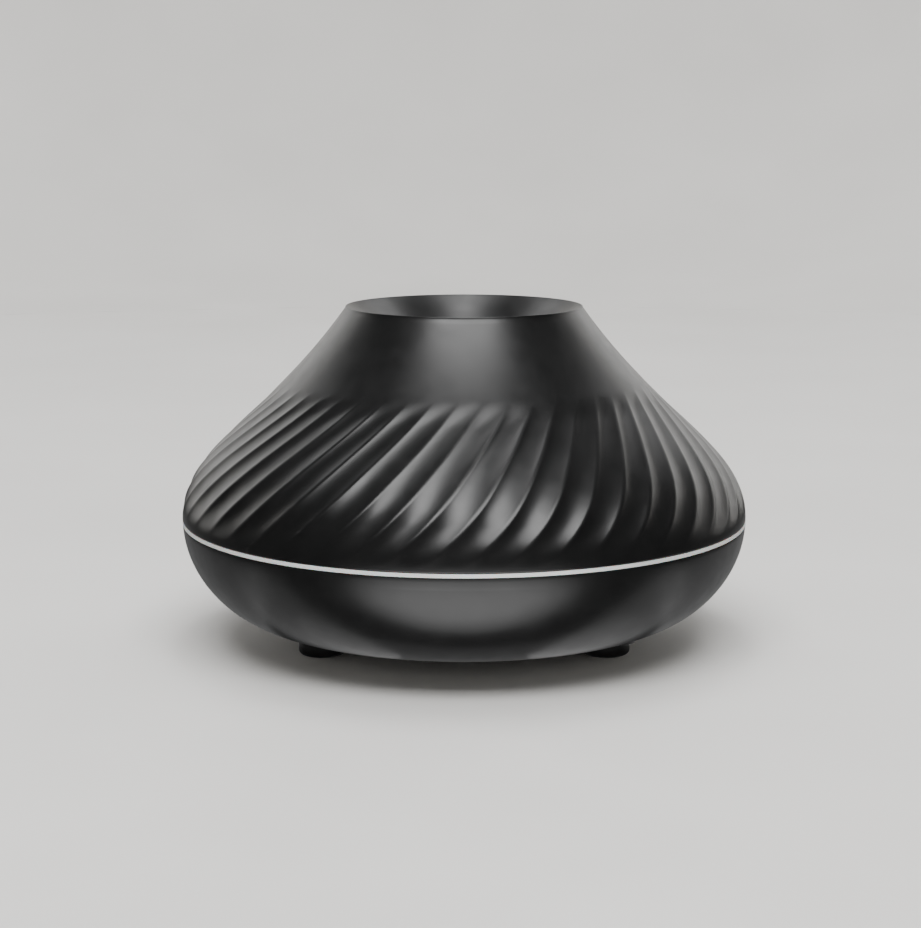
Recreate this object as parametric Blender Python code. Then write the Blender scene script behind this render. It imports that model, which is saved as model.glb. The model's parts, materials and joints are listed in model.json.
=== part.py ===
"""Ultrasonic essential oil diffuser, built piece by piece.

Z points up, the feet stand on Z = 0 and the front faces -Y. Every dimension below is in
millimetres; meshes and positions are turned into metres by MM where they are made.
"""

import math

import bmesh
import bpy
from mathutils import Quaternion, Vector

MM = 0.001
GAP = 0.3  # clearance between pieces that rest on each other

# Outer shape: two curves that meet at the belly, each given by the four control points of a
# cubic Bezier curve as (radius, height).
BELLY_R, BELLY_Z = 83.1, 36.95
RIM_R, RIM_Z = 34.9, 97.9
LID_CURVE = ((BELLY_R, BELLY_Z), (BELLY_R, 57.25), (59.9, 63.3), (RIM_R, RIM_Z))
BOWL_CURVE = ((BELLY_R, BELLY_Z), (BELLY_R, 21.6), (71.6, 9.85), (60.0, 7.1))
BASE_FLAT_R, BASE_FLAT_Z = 42.2, 3.0
WALL = 2.2

# Seams between the shells.
BOWL_TOP_Z = 35.3
RING_LOW_Z, RING_TOP_Z = BOWL_TOP_Z + GAP, BELLY_Z
LID_LOW_Z, LID_TOP_Z = RING_TOP_Z + GAP, 97.35
RING_OUT_R, RING_IN_R = 83.15, 74.0
GUIDE_LOW_Z = 34.2  # lower edge of the ring's light guide

# Flutes of the lid: crests stay on the outer curve and valleys are sunk into it.
FLUTES = 48
FLUTE_DEPTH = 1.2
VALLEY_SHARE = 0.3  # where the valley lies between one crest and the next
FLUTE_TOE_Z, FLUTE_FLARE_Z, FLUTE_HEAD_Z = 40.9, 55.0, 76.5
FLUTE_LEAN, TOE_LEAN = 30.0, 58.0  # degrees away from straight up the slope
CREST_ANGLE, CREST_Z = -88.35, 62.4  # one crest passes this bearing at this height

# Mist outlet in the lid.
CRATER_CURVE = ((33.9, 98.6), (27.0, 94.2), (18.0, 84.6), (8.2, 83.4))
THROAT_R, THROAT_OUT_R, THROAT_LOW_Z = 8.2, 10.0, 77.0
FUNNEL_WALL = 1.8
CHIMNEY_TOP_Z, CHIMNEY_LOW_Z = 80.9, 55.0
CHIMNEY_LOW_R, CHIMNEY_WALL, CHIMNEY_FLANGE_R, CHIMNEY_FLANGE = 16.6, 1.6, 19.0, 1.5
CHIMNEY_SCREW_R = 15.6
BOSS_TOP_Z, BOSS_BORE_TOP_Z = 84.1, 83.6  # the funnel's screw bosses
GUARD_RING_R, GUARD_LOW_Z, GUARD_TOP_Z = 17.0, 52.4, 57.6
GUARD_ARM_LOW_Z, GUARD_ARM_TOP_Z = 52.9, 54.1

# Water tank.
TANK_RIM_Z, DECK_Z, FLANGE_LOW_Z = 49.5, 40.35, 38.35
FLANGE_R = 79.6
TANK_FLOOR_Z, TANK_UNDER_Z = 20.0, 18.0
DUCT_Y, DUCT_R, DUCT_BORE_R, DUCT_TOP_Z = 25.0, 9.0, 7.2, 46.5
ATOMISER_SEAT_R, ATOMISER_HOLE_R, SEAT_LOW_Z = 11.3, 8.4, 15.0
TANK_BOSS_LOW_Z = 24.0
RETAINER_LOW_Z, RETAINER_TOP_Z = 13.3, 14.7
RETAINER_SCREW_R = 18.6

# Fasteners and feet, spread by thirds of a turn.
THIRDS = (-90.0, 30.0, 150.0)
FOOT_THIRDS = (-150.0, -30.0, 90.0)
CASE_THIRDS = (-165.0, -45.0, 75.0)  # beside the feet, out of sight from the front
CASE_SCREW_R, COVER_SCREW_R = 61.0, 34.5
CASE_BOSS_TOP_Z, CASE_STEP_Z = 23.7, 16.2
FOOT_CIRCLE_R, FOOT_R, FOOT_TOP_Z, FOOT_EDGE = 47.3, 6.85, 4.7, 1.2
COVER_R, COVER_LOW_Z, COVER_TOP_Z = 38.6, 2.6, 4.8
SLOT_COUNT, SLOT_WIDTH, SLOT_SPREAD, SLOT_FIELD_R = 7, 1.8, 9.0, 10.5
LEDGE_R, BOWL_FLOOR_Z = 36.6, 7.1

# Fan.
FAN_Y, FAN_HALF, FAN_LOW_Z, FAN_TOP_Z = 22.0, 12.5, 5.4, 12.4
FAN_BORE_R, FAN_HUB_R, FAN_BLADES, BLADE_PITCH = 11.4, 5.6, 7, 38.0
FAN_SCREW_AT = 10.0

# Electronics.
BOARD = 1.6  # thickness of every circuit board
BOARD_LOW_Z = 7.4
BOARD_TOP_Z = BOARD_LOW_Z + BOARD
LED_COUNT, LED_CIRCLE_R = 6, 69.5
INLET_Z, INLET_FACE_Y, INLET_POCKET_R = 20.5, 69.5, 5.3
BUTTON_X, BUTTON_Z, BUTTON_R, BUTTON_PROUD = 19.0, 28.5, 4.4, 0.5
BUTTON_FLANGE_R, BUTTON_FLANGE_Y, BUTTON_FLANGE = 5.2, 72.8, 1.2
SWITCH_BOARD_Y = 66.1

LARGE, MEDIUM, SMALL, TINY = 48, 24, 12, 8  # facets round a circle
FACET_TURN = 3.7  # degrees for each millimetre of a rod's radius


# ---- scene and materials -------------------------------------------------------------------


def clear_scene():
    for obj in list(bpy.data.objects):
        bpy.data.objects.remove(obj, do_unlink=True)


def finish(name, colour, roughness, metallic=0.0):
    """A Principled material, made once for each name."""
    material = bpy.data.materials.get(name)
    if material:
        return material
    material = bpy.data.materials.new(name)
    material.use_nodes = True
    shader = material.node_tree.nodes["Principled BSDF"]
    shader.inputs["Base Color"].default_value = (*colour, 1.0)
    shader.inputs["Roughness"].default_value = roughness
    shader.inputs["Metallic"].default_value = metallic
    material.diffuse_color = (*colour, 1.0)
    return material


def satin_black():
    return finish("satin_black", (0.020, 0.020, 0.021), 0.38)


def inner_grey():
    return finish("inner_grey", (0.045, 0.045, 0.048), 0.5)


def frosted_ring():
    return finish("frosted_ring", (0.60, 0.61, 0.61), 0.45)


def rubber_black():
    return finish("rubber_black", (0.012, 0.012, 0.012), 0.75)


def silicone_white():
    return finish("silicone_white", (0.62, 0.62, 0.60), 0.6)


def screw_steel():
    return finish("screw_steel", (0.55, 0.55, 0.56), 0.35, 1.0)


def brass():
    return finish("brass", (0.62, 0.46, 0.20), 0.3, 1.0)


def board_green():
    return finish("board_green", (0.02, 0.13, 0.06), 0.45)


def component_black():
    return finish("component_black", (0.02, 0.02, 0.02), 0.5)


def copper_winding():
    return finish("copper_winding", (0.60, 0.25, 0.10), 0.35, 1.0)


def led_lens():
    return finish("led_lens", (0.85, 0.85, 0.75), 0.2)


def foam_grey():
    return finish("foam_grey", (0.10, 0.10, 0.11), 0.95)


def lead_red():
    return finish("lead_red", (0.45, 0.03, 0.02), 0.5)


# ---- curves and points ---------------------------------------------------------------------


def bezier(curve, t):
    """The point of a cubic Bezier curve at t, as (radius, height)."""
    s = 1.0 - t
    weights = (s * s * s, 3 * s * s * t, 3 * s * t * t, t * t * t)
    radius = sum(w * p[0] for w, p in zip(weights, curve))
    height = sum(w * p[1] for w, p in zip(weights, curve))
    return radius, height


def share_at_height(curve, height):
    """The t at which a curve, whose heights only rise or only fall, passes a height."""
    low, high = 0.0, 1.0
    rises = curve[3][1] > curve[0][1]
    for _ in range(40):
        middle = (low + high) / 2
        if (bezier(curve, middle)[1] < height) == rises:
            low = middle
        else:
            high = middle
    return (low + high) / 2


def radius_at(curve, height):
    return bezier(curve, share_at_height(curve, height))[0]


def beside(curve, t, distance):
    """A point off the curve by a distance; a positive one lies to the left of its run."""
    step = 1e-4
    before, after = bezier(curve, max(t - step, 0.0)), bezier(curve, min(t + step, 1.0))
    run = Vector((after[0] - before[0], after[1] - before[1])).normalized()
    radius, height = bezier(curve, t)
    return radius - run.y * distance, height + run.x * distance


def spread(start, end, count):
    """count values from start to end, both included."""
    return [start + (end - start) * i / (count - 1) for i in range(count)]


def on_circle(radius, bearing, height=0.0):
    angle = math.radians(bearing)
    return Vector((radius * math.cos(angle), radius * math.sin(angle), height))


def arc(centre, radius, start, end, count):
    """Points of a flat arc, its bearings in degrees."""
    return [Vector(centre) + on_circle(radius, b).xy for b in spread(start, end, count)]


# ---- meshes --------------------------------------------------------------------------------


def mesh_object(name, bm, material=None, smooth=True):
    """Turns a bmesh in millimetres into an object in metres, facing out."""
    bmesh.ops.recalc_face_normals(bm, faces=bm.faces)
    bmesh.ops.scale(bm, vec=(MM, MM, MM), verts=bm.verts)
    mesh = bpy.data.meshes.new(name)
    bm.to_mesh(mesh)
    bm.free()
    if smooth:
        mesh.shade_smooth()
        mesh.set_sharp_from_angle(angle=math.radians(35))
    if material:
        mesh.materials.append(material)
    obj = bpy.data.objects.new(name, mesh)
    bpy.context.scene.collection.objects.link(obj)
    return obj


def turned(name, outline, material=None, facets=LARGE):
    """A closed (radius, height) outline spun round the Z axis."""
    bm = bmesh.new()
    verts = [bm.verts.new((r, 0.0, z)) for r, z in outline]
    edges = [bm.edges.new((a, b)) for a, b in zip(verts, verts[1:])]
    if outline[0][0] > 0 or outline[-1][0] > 0:
        edges.append(bm.edges.new((verts[-1], verts[0])))
    bmesh.ops.spin(
        bm,
        geom=verts + edges,
        axis=(0, 0, 1),
        cent=(0, 0, 0),
        steps=facets,
        angle=math.tau,
        use_merge=True,
    )
    bmesh.ops.remove_doubles(bm, verts=bm.verts, dist=1e-4)
    return mesh_object(name, bm, material)


def extruded(name, outline, low, high, material=None, smooth=True):
    """A flat outline of (x, y) points raised from one height to another."""
    bm = bmesh.new()
    face = bm.faces.new([bm.verts.new((p[0], p[1], low)) for p in outline])
    made = bmesh.ops.extrude_face_region(bm, geom=[face])["geom"]
    raised = [v for v in made if isinstance(v, bmesh.types.BMVert)]
    bmesh.ops.translate(bm, verts=raised, vec=(0, 0, high - low))
    return mesh_object(name, bm, material, smooth)


def block(name, low, high, material=None):
    """A box between two opposite corners."""
    corners = ((low[0], low[1]), (high[0], low[1]), (high[0], high[1]), (low[0], high[1]))
    return extruded(name, corners, low[2], high[2], material, smooth=False)


def rod(name, radius, start, end, material=None, facets=SMALL):
    """A cylinder from one point to another; its object's origin is the start. Its facets are
    turned by an amount that depends on its radius, so a bore's never line up with its boss's."""
    run = Vector(end) - Vector(start)
    facet_turn = Quaternion((0, 0, 1), math.radians(FACET_TURN * radius))
    obj = turned(
        name,
        [(0.0, 0.0), (radius, 0.0), (radius, run.length), (0.0, run.length)],
        material,
        facets,
    )
    obj.location = Vector(start) * MM
    obj.rotation_mode = "QUATERNION"
    obj.rotation_quaternion = run.to_track_quat("Z", "Y") @ facet_turn
    return obj


def rounded_box_outline(half_x, half_y, corner, centre=(0.0, 0.0)):
    """A rectangle with round corners, anticlockwise."""
    points = []
    signs = ((1, 1, 0), (-1, 1, 90), (-1, -1, 180), (1, -1, 270))
    for sign_x, sign_y, start in signs:
        middle = (
            centre[0] + sign_x * (half_x - corner),
            centre[1] + sign_y * (half_y - corner),
        )
        points += arc(middle, corner, start, start + 90, 4)
    return points


def helper(obj):
    """Marks an object that only shapes another one."""
    obj.hide_render = True
    obj.display_type = "WIRE"
    return obj


def combine(target, other, operation):
    modifier = target.modifiers.new(f"{operation.lower()} {other.name}", "BOOLEAN")
    modifier.operation = operation
    modifier.object = helper(other)


def cut(target, *others):
    for other in others:
        combine(target, other, "DIFFERENCE")


def join(target, *others):
    for other in others:
        combine(target, other, "UNION")


def repeated(name, first, offset, bearing=0.0):
    """A copy that shares the first object's mesh, moved by an offset and turned about Z."""
    copy = bpy.data.objects.new(name, first.data)
    copy.location = first.location + Vector(offset) * MM
    copy.rotation_euler.z = math.radians(bearing)
    bpy.context.scene.collection.objects.link(copy)
    return copy


def screw(name, head_r, head_z, head_height, shank_r, shank_end_z, facets=SMALL):
    """A pan-head screw on the Z axis with a cross-shaped recess; its head faces away
    from its shank's end."""
    way = 1.0 if shank_end_z > head_z else -1.0
    crown = head_z - way * 0.35
    outline = [
        (0.0, crown),
        (head_r * 0.6, crown),
        (head_r, head_z),
        (head_r, head_z + way * head_height),
        (shank_r, head_z + way * head_height),
        (shank_r, shank_end_z - way * shank_r),
        (shank_r * 0.4, shank_end_z),
        (0.0, shank_end_z),
    ]
    return turned(name, outline, screw_steel(), facets)


def screws(name, head_r, head_z, head_height, shank_r, shank_end_z, places):
    """One screw at each (x, y) place, numbered from 1."""
    first = screw(f"{name}_1", head_r, head_z, head_height, shank_r, shank_end_z, TINY)
    first.location = (places[0][0] * MM, places[0][1] * MM, 0.0)
    pieces = [first]
    for number, place in enumerate(places[1:], start=2):
        offset = (place[0] - places[0][0], place[1] - places[0][1], 0.0)
        pieces.append(repeated(f"{name}_{number}", first, offset))
    return pieces


def thirds(radius, bearings=THIRDS):
    return [on_circle(radius, bearing) for bearing in bearings]


# ---- lid -----------------------------------------------------------------------------------


def flute_twist(height):
    """Bearing in degrees of the crest line at a height, from the lean down the slope."""
    steps = 60
    bearing = CREST_ANGLE
    heights = spread(CREST_Z, min(max(height, FLUTE_TOE_Z), FLUTE_HEAD_Z), steps)
    for low, high in zip(heights, heights[1:]):
        middle = (low + high) / 2
        flare = max(0.0, (FLUTE_FLARE_Z - middle) / (FLUTE_FLARE_Z - FLUTE_TOE_Z))
        lean = math.radians(FLUTE_LEAN + (TOE_LEAN - FLUTE_LEAN) * flare)
        run = math.hypot(high - low, radius_at(LID_CURVE, high) - radius_at(LID_CURVE, low))
        way = 1.0 if high > low else -1.0
        bearing += way * math.degrees(math.tan(lean) * run / radius_at(LID_CURVE, middle))
    return bearing


def flute_depth(height):
    """Depth of the valleys: none at the toe and head, full between them."""
    toe = min(max((height - FLUTE_TOE_Z) / 4.0, 0.0), 1.0)
    head = min(max((FLUTE_HEAD_Z - height) / 5.0, 0.0), 1.0)
    return FLUTE_DEPTH * math.sin(toe * math.pi / 2) * math.sin(head * math.pi / 2)


def lid_rings():
    """Rings of the lid as (radius, height, valley depth), round its closed section."""
    heights = [LID_LOW_Z, FLUTE_TOE_Z, 43.0, 46.5, 51.5, 57.5, 64.5, 72.0]
    heights += [FLUTE_HEAD_Z, 86.5, LID_TOP_Z]
    outside = [(radius_at(LID_CURVE, z), z, flute_depth(z)) for z in heights]
    inside = []
    for height in (92.0, 75.0, 60.0, 47.0):
        radius, inner_z = beside(LID_CURVE, share_at_height(LID_CURVE, height), WALL)
        inside.append((radius, inner_z, 0.0))
    top = (RIM_R - 2.5, LID_TOP_Z, 0.0)
    bottom = (BELLY_R - WALL, LID_LOW_Z, 0.0)
    return outside + [top] + inside + [bottom]


def top_cover():
    """The fluted shell: each ring has a crest and a valley column for every flute."""
    bm = bmesh.new()
    pitch = 360.0 / FLUTES
    rings = []
    for radius, height, depth in lid_rings():
        start = flute_twist(height)
        ring = []
        for flute in range(FLUTES):
            crest = start + flute * pitch
            valley = crest + VALLEY_SHARE * pitch
            ring.append(bm.verts.new(on_circle(radius, crest, height)))
            ring.append(bm.verts.new(on_circle(radius - depth, valley, height)))
        rings.append(ring)
    for lower, upper in zip(rings, rings[1:] + rings[:1]):
        for i in range(2 * FLUTES):
            after = (i + 1) % (2 * FLUTES)
            bm.faces.new((lower[i], lower[after], upper[after], upper[i]))
    return mesh_object("top_cover", bm, satin_black())


def mist_funnel():
    """The crater-shaped outlet that drops into the lid's rim."""
    lip = [(34.85, 97.65), (34.85, 97.95), (34.5, 98.45)]
    crater = [bezier(CRATER_CURVE, t) for t in spread(0.0, 1.0, 6)]
    throat = [(THROAT_R, THROAT_LOW_Z), (THROAT_OUT_R, THROAT_LOW_Z)]
    throat.append((THROAT_OUT_R, CHIMNEY_TOP_Z + 1.0))
    under = [beside(CRATER_CURVE, t, FUNNEL_WALL) for t in spread(0.9, 0.16, 4)]
    skirt = [(30.4, 93.0), (32.0, 93.0), (32.0, 97.65)]
    funnel = turned("mist_funnel", lip + crater + throat + under + skirt, satin_black(), 36)
    for number, place in enumerate(thirds(CHIMNEY_SCREW_R), start=1):
        boss_low = place + Vector((0, 0, CHIMNEY_TOP_Z + GAP))
        boss_top = place + Vector((0, 0, BOSS_TOP_Z))
        join(funnel, rod(f"funnel_boss_{number}", 2.4, boss_low, boss_top, facets=TINY))
        bore_low = place + Vector((0, 0, CHIMNEY_TOP_Z - 1.0))
        bore_top = place + Vector((0, 0, BOSS_BORE_TOP_Z))
        cut(funnel, rod(f"funnel_bore_{number}", 1.3, bore_low, bore_top, facets=TINY))
    return funnel


def mist_chimney():
    """The flared tube under the funnel, with the flange that its screws hold."""
    outline = [
        (THROAT_OUT_R + 0.4, CHIMNEY_TOP_Z),
        (CHIMNEY_FLANGE_R, CHIMNEY_TOP_Z),
        (CHIMNEY_FLANGE_R, CHIMNEY_TOP_Z - CHIMNEY_FLANGE),
        (THROAT_OUT_R + 2.0, CHIMNEY_TOP_Z - CHIMNEY_FLANGE),
        (CHIMNEY_LOW_R, CHIMNEY_LOW_Z),
        (CHIMNEY_LOW_R - CHIMNEY_WALL, CHIMNEY_LOW_Z),
    ]
    chimney = turned("mist_chimney", outline, inner_grey(), MEDIUM)
    for number, place in enumerate(thirds(CHIMNEY_SCREW_R), start=1):
        low, high = place + Vector((0, 0, 78.0)), place + Vector((0, 0, 84.0))
        cut(chimney, rod(f"chimney_hole_{number}", 1.4, low, high, facets=TINY))
    return chimney


def splash_guard():
    """A shallow dome held below the chimney's mouth by three arms and a clip ring."""
    ring = [
        (GUARD_RING_R, GUARD_TOP_Z),
        (GUARD_RING_R + 1.5, GUARD_TOP_Z),
        (GUARD_RING_R + 1.5, GUARD_LOW_Z),
        (GUARD_RING_R, GUARD_LOW_Z),
    ]
    dome = [(0.0, 54.6), (6.0, 53.9), (11.0, 52.0), (11.0, 51.0), (6.0, 52.6), (0.0, 53.3)]
    guard = turned("splash_guard", ring, inner_grey(), MEDIUM)
    join(guard, turned("guard_dome", dome, facets=MEDIUM))
    for number, bearing in enumerate(THIRDS, start=1):
        low, high = (8.5, -1.2, GUARD_ARM_LOW_Z), (GUARD_RING_R + 0.8, 1.2, GUARD_ARM_TOP_Z)
        arm = block(f"guard_arm_{number}", low, high)
        arm.rotation_euler.z = math.radians(bearing)
        join(guard, arm)
    return guard


def lid():
    lift = bpy.data.objects.new("lid_lift", None)
    bpy.context.scene.collection.objects.link(lift)
    pieces = [top_cover(), mist_funnel(), mist_chimney(), splash_guard()]
    places = thirds(CHIMNEY_SCREW_R)
    pieces += screws("chimney_screw", 2.3, 77.8, 1.3, 1.0, 83.2, places)
    for piece in pieces:
        piece.parent = lift


# ---- base shells ---------------------------------------------------------------------------


def bowl_outside(proud=0.0):
    """The bowl's outer curve from its top edge down to the flat under it."""
    first = share_at_height(BOWL_CURVE, BOWL_TOP_Z)
    return [beside(BOWL_CURVE, t, proud) for t in spread(first, 1.0, 7)]


def bowl_cavity():
    """The space inside the bowl, with the mouth for the bottom cover, less the bosses."""
    first = share_at_height(BOWL_CURVE, BOWL_TOP_Z)
    wall = [beside(BOWL_CURVE, t, -WALL) for t in spread(first, 0.92, 5)]
    outline = [
        (0.0, BOWL_TOP_Z + 3.0),
        (BELLY_R - WALL, BOWL_TOP_Z + 3.0),
        *wall,
        (50.0, BOWL_FLOOR_Z),
        (LEDGE_R, BOWL_FLOOR_Z),
        (LEDGE_R, COVER_TOP_Z + GAP),
        (COVER_R + GAP, COVER_TOP_Z + GAP),
        (COVER_R + GAP, 0.0),
        (0.0, 0.0),
    ]
    cavity = turned("bowl_cavity", outline)
    for number, place in enumerate(thirds(CASE_SCREW_R, CASE_THIRDS), start=1):
        low, high = place + Vector((0, 0, 5.0)), place + Vector((0, 0, CASE_BOSS_TOP_Z))
        cut(cavity, rod(f"case_boss_{number}", 4.6, low, high))
    for number, place in enumerate(thirds(COVER_SCREW_R), start=1):
        low = place + Vector((0, 0, COVER_TOP_Z + GAP))
        high = place + Vector((0, 0, 9.5))
        cut(cavity, rod(f"cover_boss_{number}", 3.6, low, high))
    pocket = rod("inlet_boss", INLET_POCKET_R + 1.3, (0, 66.0, INLET_Z), (0, 84.0, INLET_Z))
    cut(cavity, pocket)
    return cavity


def base_bowl():
    """The lower casing: a thin bowl with its screw bosses and its openings at the back."""
    outline = [(0.0, BOWL_TOP_Z), *bowl_outside()]
    outline += [(BASE_FLAT_R, BASE_FLAT_Z), (0.0, BASE_FLAT_Z)]
    bowl = turned("base_bowl", outline, satin_black())
    cut(bowl, bowl_cavity())
    for number, place in enumerate(thirds(CASE_SCREW_R, CASE_THIRDS), start=1):
        low, step = place, place + Vector((0, 0, CASE_STEP_Z))
        top = place + Vector((0, 0, 26.0))
        cut(bowl, rod(f"case_recess_{number}", 3.1, low, step))
        cut(bowl, rod(f"case_bore_{number}", 1.7, low, top, facets=TINY))
    for number, place in enumerate(thirds(COVER_SCREW_R), start=1):
        low, top = place, place + Vector((0, 0, 8.9))
        cut(bowl, rod(f"cover_bore_{number}", 1.5, low, top, facets=TINY))
    for number, place in enumerate(thirds(FOOT_CIRCLE_R, FOOT_THIRDS), start=1):
        low = place - Vector((0, 0, 2.0))
        top = place + Vector((0, 0, FOOT_TOP_Z + GAP))
        cut(bowl, rod(f"foot_seat_{number}", FOOT_R + GAP, low, top, facets=MEDIUM))
    start, end = (0, 62.0, INLET_Z), (0, 90.0, INLET_Z)
    cut(bowl, rod("inlet_pocket", INLET_POCKET_R, start, end))
    for side, sign in (("mist", -1), ("light", 1)):
        start, end = (sign * BUTTON_X, 70.0, BUTTON_Z), (sign * BUTTON_X, 90.0, BUTTON_Z)
        cut(bowl, rod(f"{side}_button_hole", BUTTON_R + GAP, start, end))
    return bowl


def light_ring():
    """The pale band between the shells, with the light guide that hangs from it."""
    outline = [
        (RING_OUT_R, RING_LOW_Z),
        (RING_OUT_R, RING_TOP_Z),
        (RING_IN_R, RING_TOP_Z),
        (RING_IN_R, GUIDE_LOW_Z),
        (RING_IN_R + 1.8, GUIDE_LOW_Z),
        (RING_IN_R + 1.8, RING_LOW_Z),
    ]
    return turned("light_ring", outline, frosted_ring())


def bottom_cover():
    """The round service cover with the fan's intake slots."""
    low, high = COVER_LOW_Z, COVER_TOP_Z
    cover = turned(
        "bottom_cover",
        [(0.0, low), (COVER_R - 0.6, low), (COVER_R, low + 0.6), (COVER_R, high), (0.0, high)],
        satin_black(),
    )
    for number, offset in enumerate(spread(-SLOT_SPREAD, SLOT_SPREAD, SLOT_COUNT), start=1):
        half = math.sqrt(SLOT_FIELD_R**2 - offset**2)
        slot = block(
            f"intake_slot_{number}",
            (offset - SLOT_WIDTH / 2, FAN_Y - half, low - 1.0),
            (offset + SLOT_WIDTH / 2, FAN_Y + half, high + 1.0),
        )
        cut(cover, slot)
    for number, place in enumerate(thirds(COVER_SCREW_R), start=1):
        below = place + Vector((0, 0, low - 1.0))
        step = place + Vector((0, 0, 3.9))
        above = place + Vector((0, 0, high + 1.0))
        cut(cover, rod(f"cover_recess_{number}", 2.8, below, step))
        cut(cover, rod(f"cover_hole_{number}", 1.5, below, above, facets=TINY))
    for number, place in enumerate(fan_screw_places(), start=1):
        below = Vector((*place, low - 1.0))
        above = Vector((*place, high + 1.0))
        cut(cover, rod(f"fan_screw_hole_{number}", 1.2, below, above, facets=TINY))
    return cover


def feet():
    """Three rubber feet, the base's only contact with the surface under it."""
    edge = [
        (FOOT_R - FOOT_EDGE * (1 - math.sin(a)), FOOT_EDGE * (1 - math.cos(a)))
        for a in (math.radians(b) for b in (0, 45, 90))
    ]
    outline = [(0.0, 0.0), *edge, (FOOT_R, FOOT_TOP_Z), (0.0, FOOT_TOP_Z)]
    names = ("foot_front_left", "foot_front_right", "foot_rear")
    places = thirds(FOOT_CIRCLE_R, FOOT_THIRDS)
    first = turned(names[0], outline, rubber_black(), MEDIUM)
    first.location = places[0] * MM
    for name, place in zip(names[1:], places[1:]):
        repeated(name, first, place - places[0])


# ---- water tank and atomiser ---------------------------------------------------------------


def water_tank():
    """The basin with its flange, the air duct and the bosses under it."""
    outline = [
        (ATOMISER_HOLE_R, TANK_FLOOR_Z),
        (44.5, TANK_FLOOR_Z + 1.4),
        (47.4, 22.3),
        (48.5, 24.5),
        (51.4, TANK_RIM_Z - 0.9),
        (51.9, TANK_RIM_Z),
        (53.1, TANK_RIM_Z),
        (53.6, TANK_RIM_Z - 0.7),
        (53.6, DECK_Z),
        (FLANGE_R - 0.8, DECK_Z),
        (FLANGE_R, DECK_Z - 0.8),
        (FLANGE_R, FLANGE_LOW_Z),
        (52.6, FLANGE_LOW_Z),
        (50.8, 24.2),
        (46.5, 19.2),
        (14.6, TANK_UNDER_Z),
        (14.6, SEAT_LOW_Z),
        (ATOMISER_SEAT_R, SEAT_LOW_Z),
        (ATOMISER_SEAT_R, 18.5),
        (ATOMISER_HOLE_R, 18.5),
    ]
    tank = turned("water_tank", outline, inner_grey())
    duct_low, duct_top = (0, DUCT_Y, 19.4), (0, DUCT_Y, DUCT_TOP_Z)
    join(tank, rod("duct_wall", DUCT_R, duct_low, duct_top, facets=MEDIUM))
    bore_low, bore_top = (0, DUCT_Y, 14.0), (0, DUCT_Y, DUCT_TOP_Z + 4.0)
    cut(tank, rod("duct_bore", DUCT_BORE_R, bore_low, bore_top, facets=MEDIUM))
    for number, place in enumerate(thirds(CASE_SCREW_R, CASE_THIRDS), start=1):
        low = place + Vector((0, 0, TANK_BOSS_LOW_Z))
        high = place + Vector((0, 0, DECK_Z - 0.95))
        join(tank, rod(f"tank_boss_{number}", 3.5, low, high))
        bore = rod(f"tank_bore_{number}", 1.7, low - Vector((0, 0, 2)), high - Vector((0, 0, 3)))
        cut(tank, bore)
    for number, place in enumerate(thirds(RETAINER_SCREW_R), start=1):
        low, high = place + Vector((0, 0, SEAT_LOW_Z)), place + Vector((0, 0, 19.3))
        join(tank, rod(f"retainer_boss_{number}", 2.6, low, high))
        bore = rod(f"retainer_bore_{number}", 1.3, low - Vector((0, 0, 1)), high - Vector((0, 0, 1)))
        cut(tank, bore)
    return tank


def tank_seal():
    low = RING_TOP_Z + GAP
    high = FLANGE_LOW_Z - GAP
    outline = [(76.0, low), (79.0, low), (79.0, high), (76.0, high)]
    return turned("tank_seal", outline, silicone_white())


def atomiser():
    """The ultrasonic disc, the seal above it and the plate that presses it home."""
    seal = [(7.8, 16.9), (11.0, 16.9), (11.0, 18.2), (7.8, 18.2)]
    turned("atomiser_seal", seal, silicone_white(), MEDIUM)
    disc = [(0.0, 15.95), (10.0, 15.95), (10.0, 16.6), (0.0, 16.6)]
    turned("atomiser_disc", disc, brass(), MEDIUM)
    bottom, top, crown = RETAINER_LOW_Z, RETAINER_TOP_Z, 15.65
    outline = [(6.0, bottom), (12.2, bottom), (12.2, top), (10.2, top), (10.2, crown), (6.0, crown)]
    plate = turned("atomiser_retainer", outline, component_black(), MEDIUM)
    for number, place in enumerate(thirds(RETAINER_SCREW_R), start=1):
        bearing = math.degrees(math.atan2(place.y, place.x))
        arm_low, arm_high = (11.5, -2.8, bottom + 0.1), (RETAINER_SCREW_R, 2.8, top - 0.1)
        arm = block(f"retainer_arm_{number}", arm_low, arm_high)
        arm.rotation_euler.z = math.radians(bearing)
        low, high = place + Vector((0, 0, bottom)), place + Vector((0, 0, top))
        join(plate, arm, rod(f"retainer_ear_{number}", 3.0, low, high))
        below, above = low - Vector((0, 0, 1)), high + Vector((0, 0, 1))
        cut(plate, rod(f"retainer_hole_{number}", 1.4, below, above, facets=TINY))
    screws("retainer_screw", 2.2, 11.7, 1.3, 1.0, 18.0, thirds(RETAINER_SCREW_R))


# ---- fan -----------------------------------------------------------------------------------


def fan_screw_places():
    """The two opposite corners of the fan that are screwed down."""
    return [
        (-FAN_SCREW_AT, FAN_Y - FAN_SCREW_AT),
        (FAN_SCREW_AT, FAN_Y + FAN_SCREW_AT),
    ]


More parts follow.
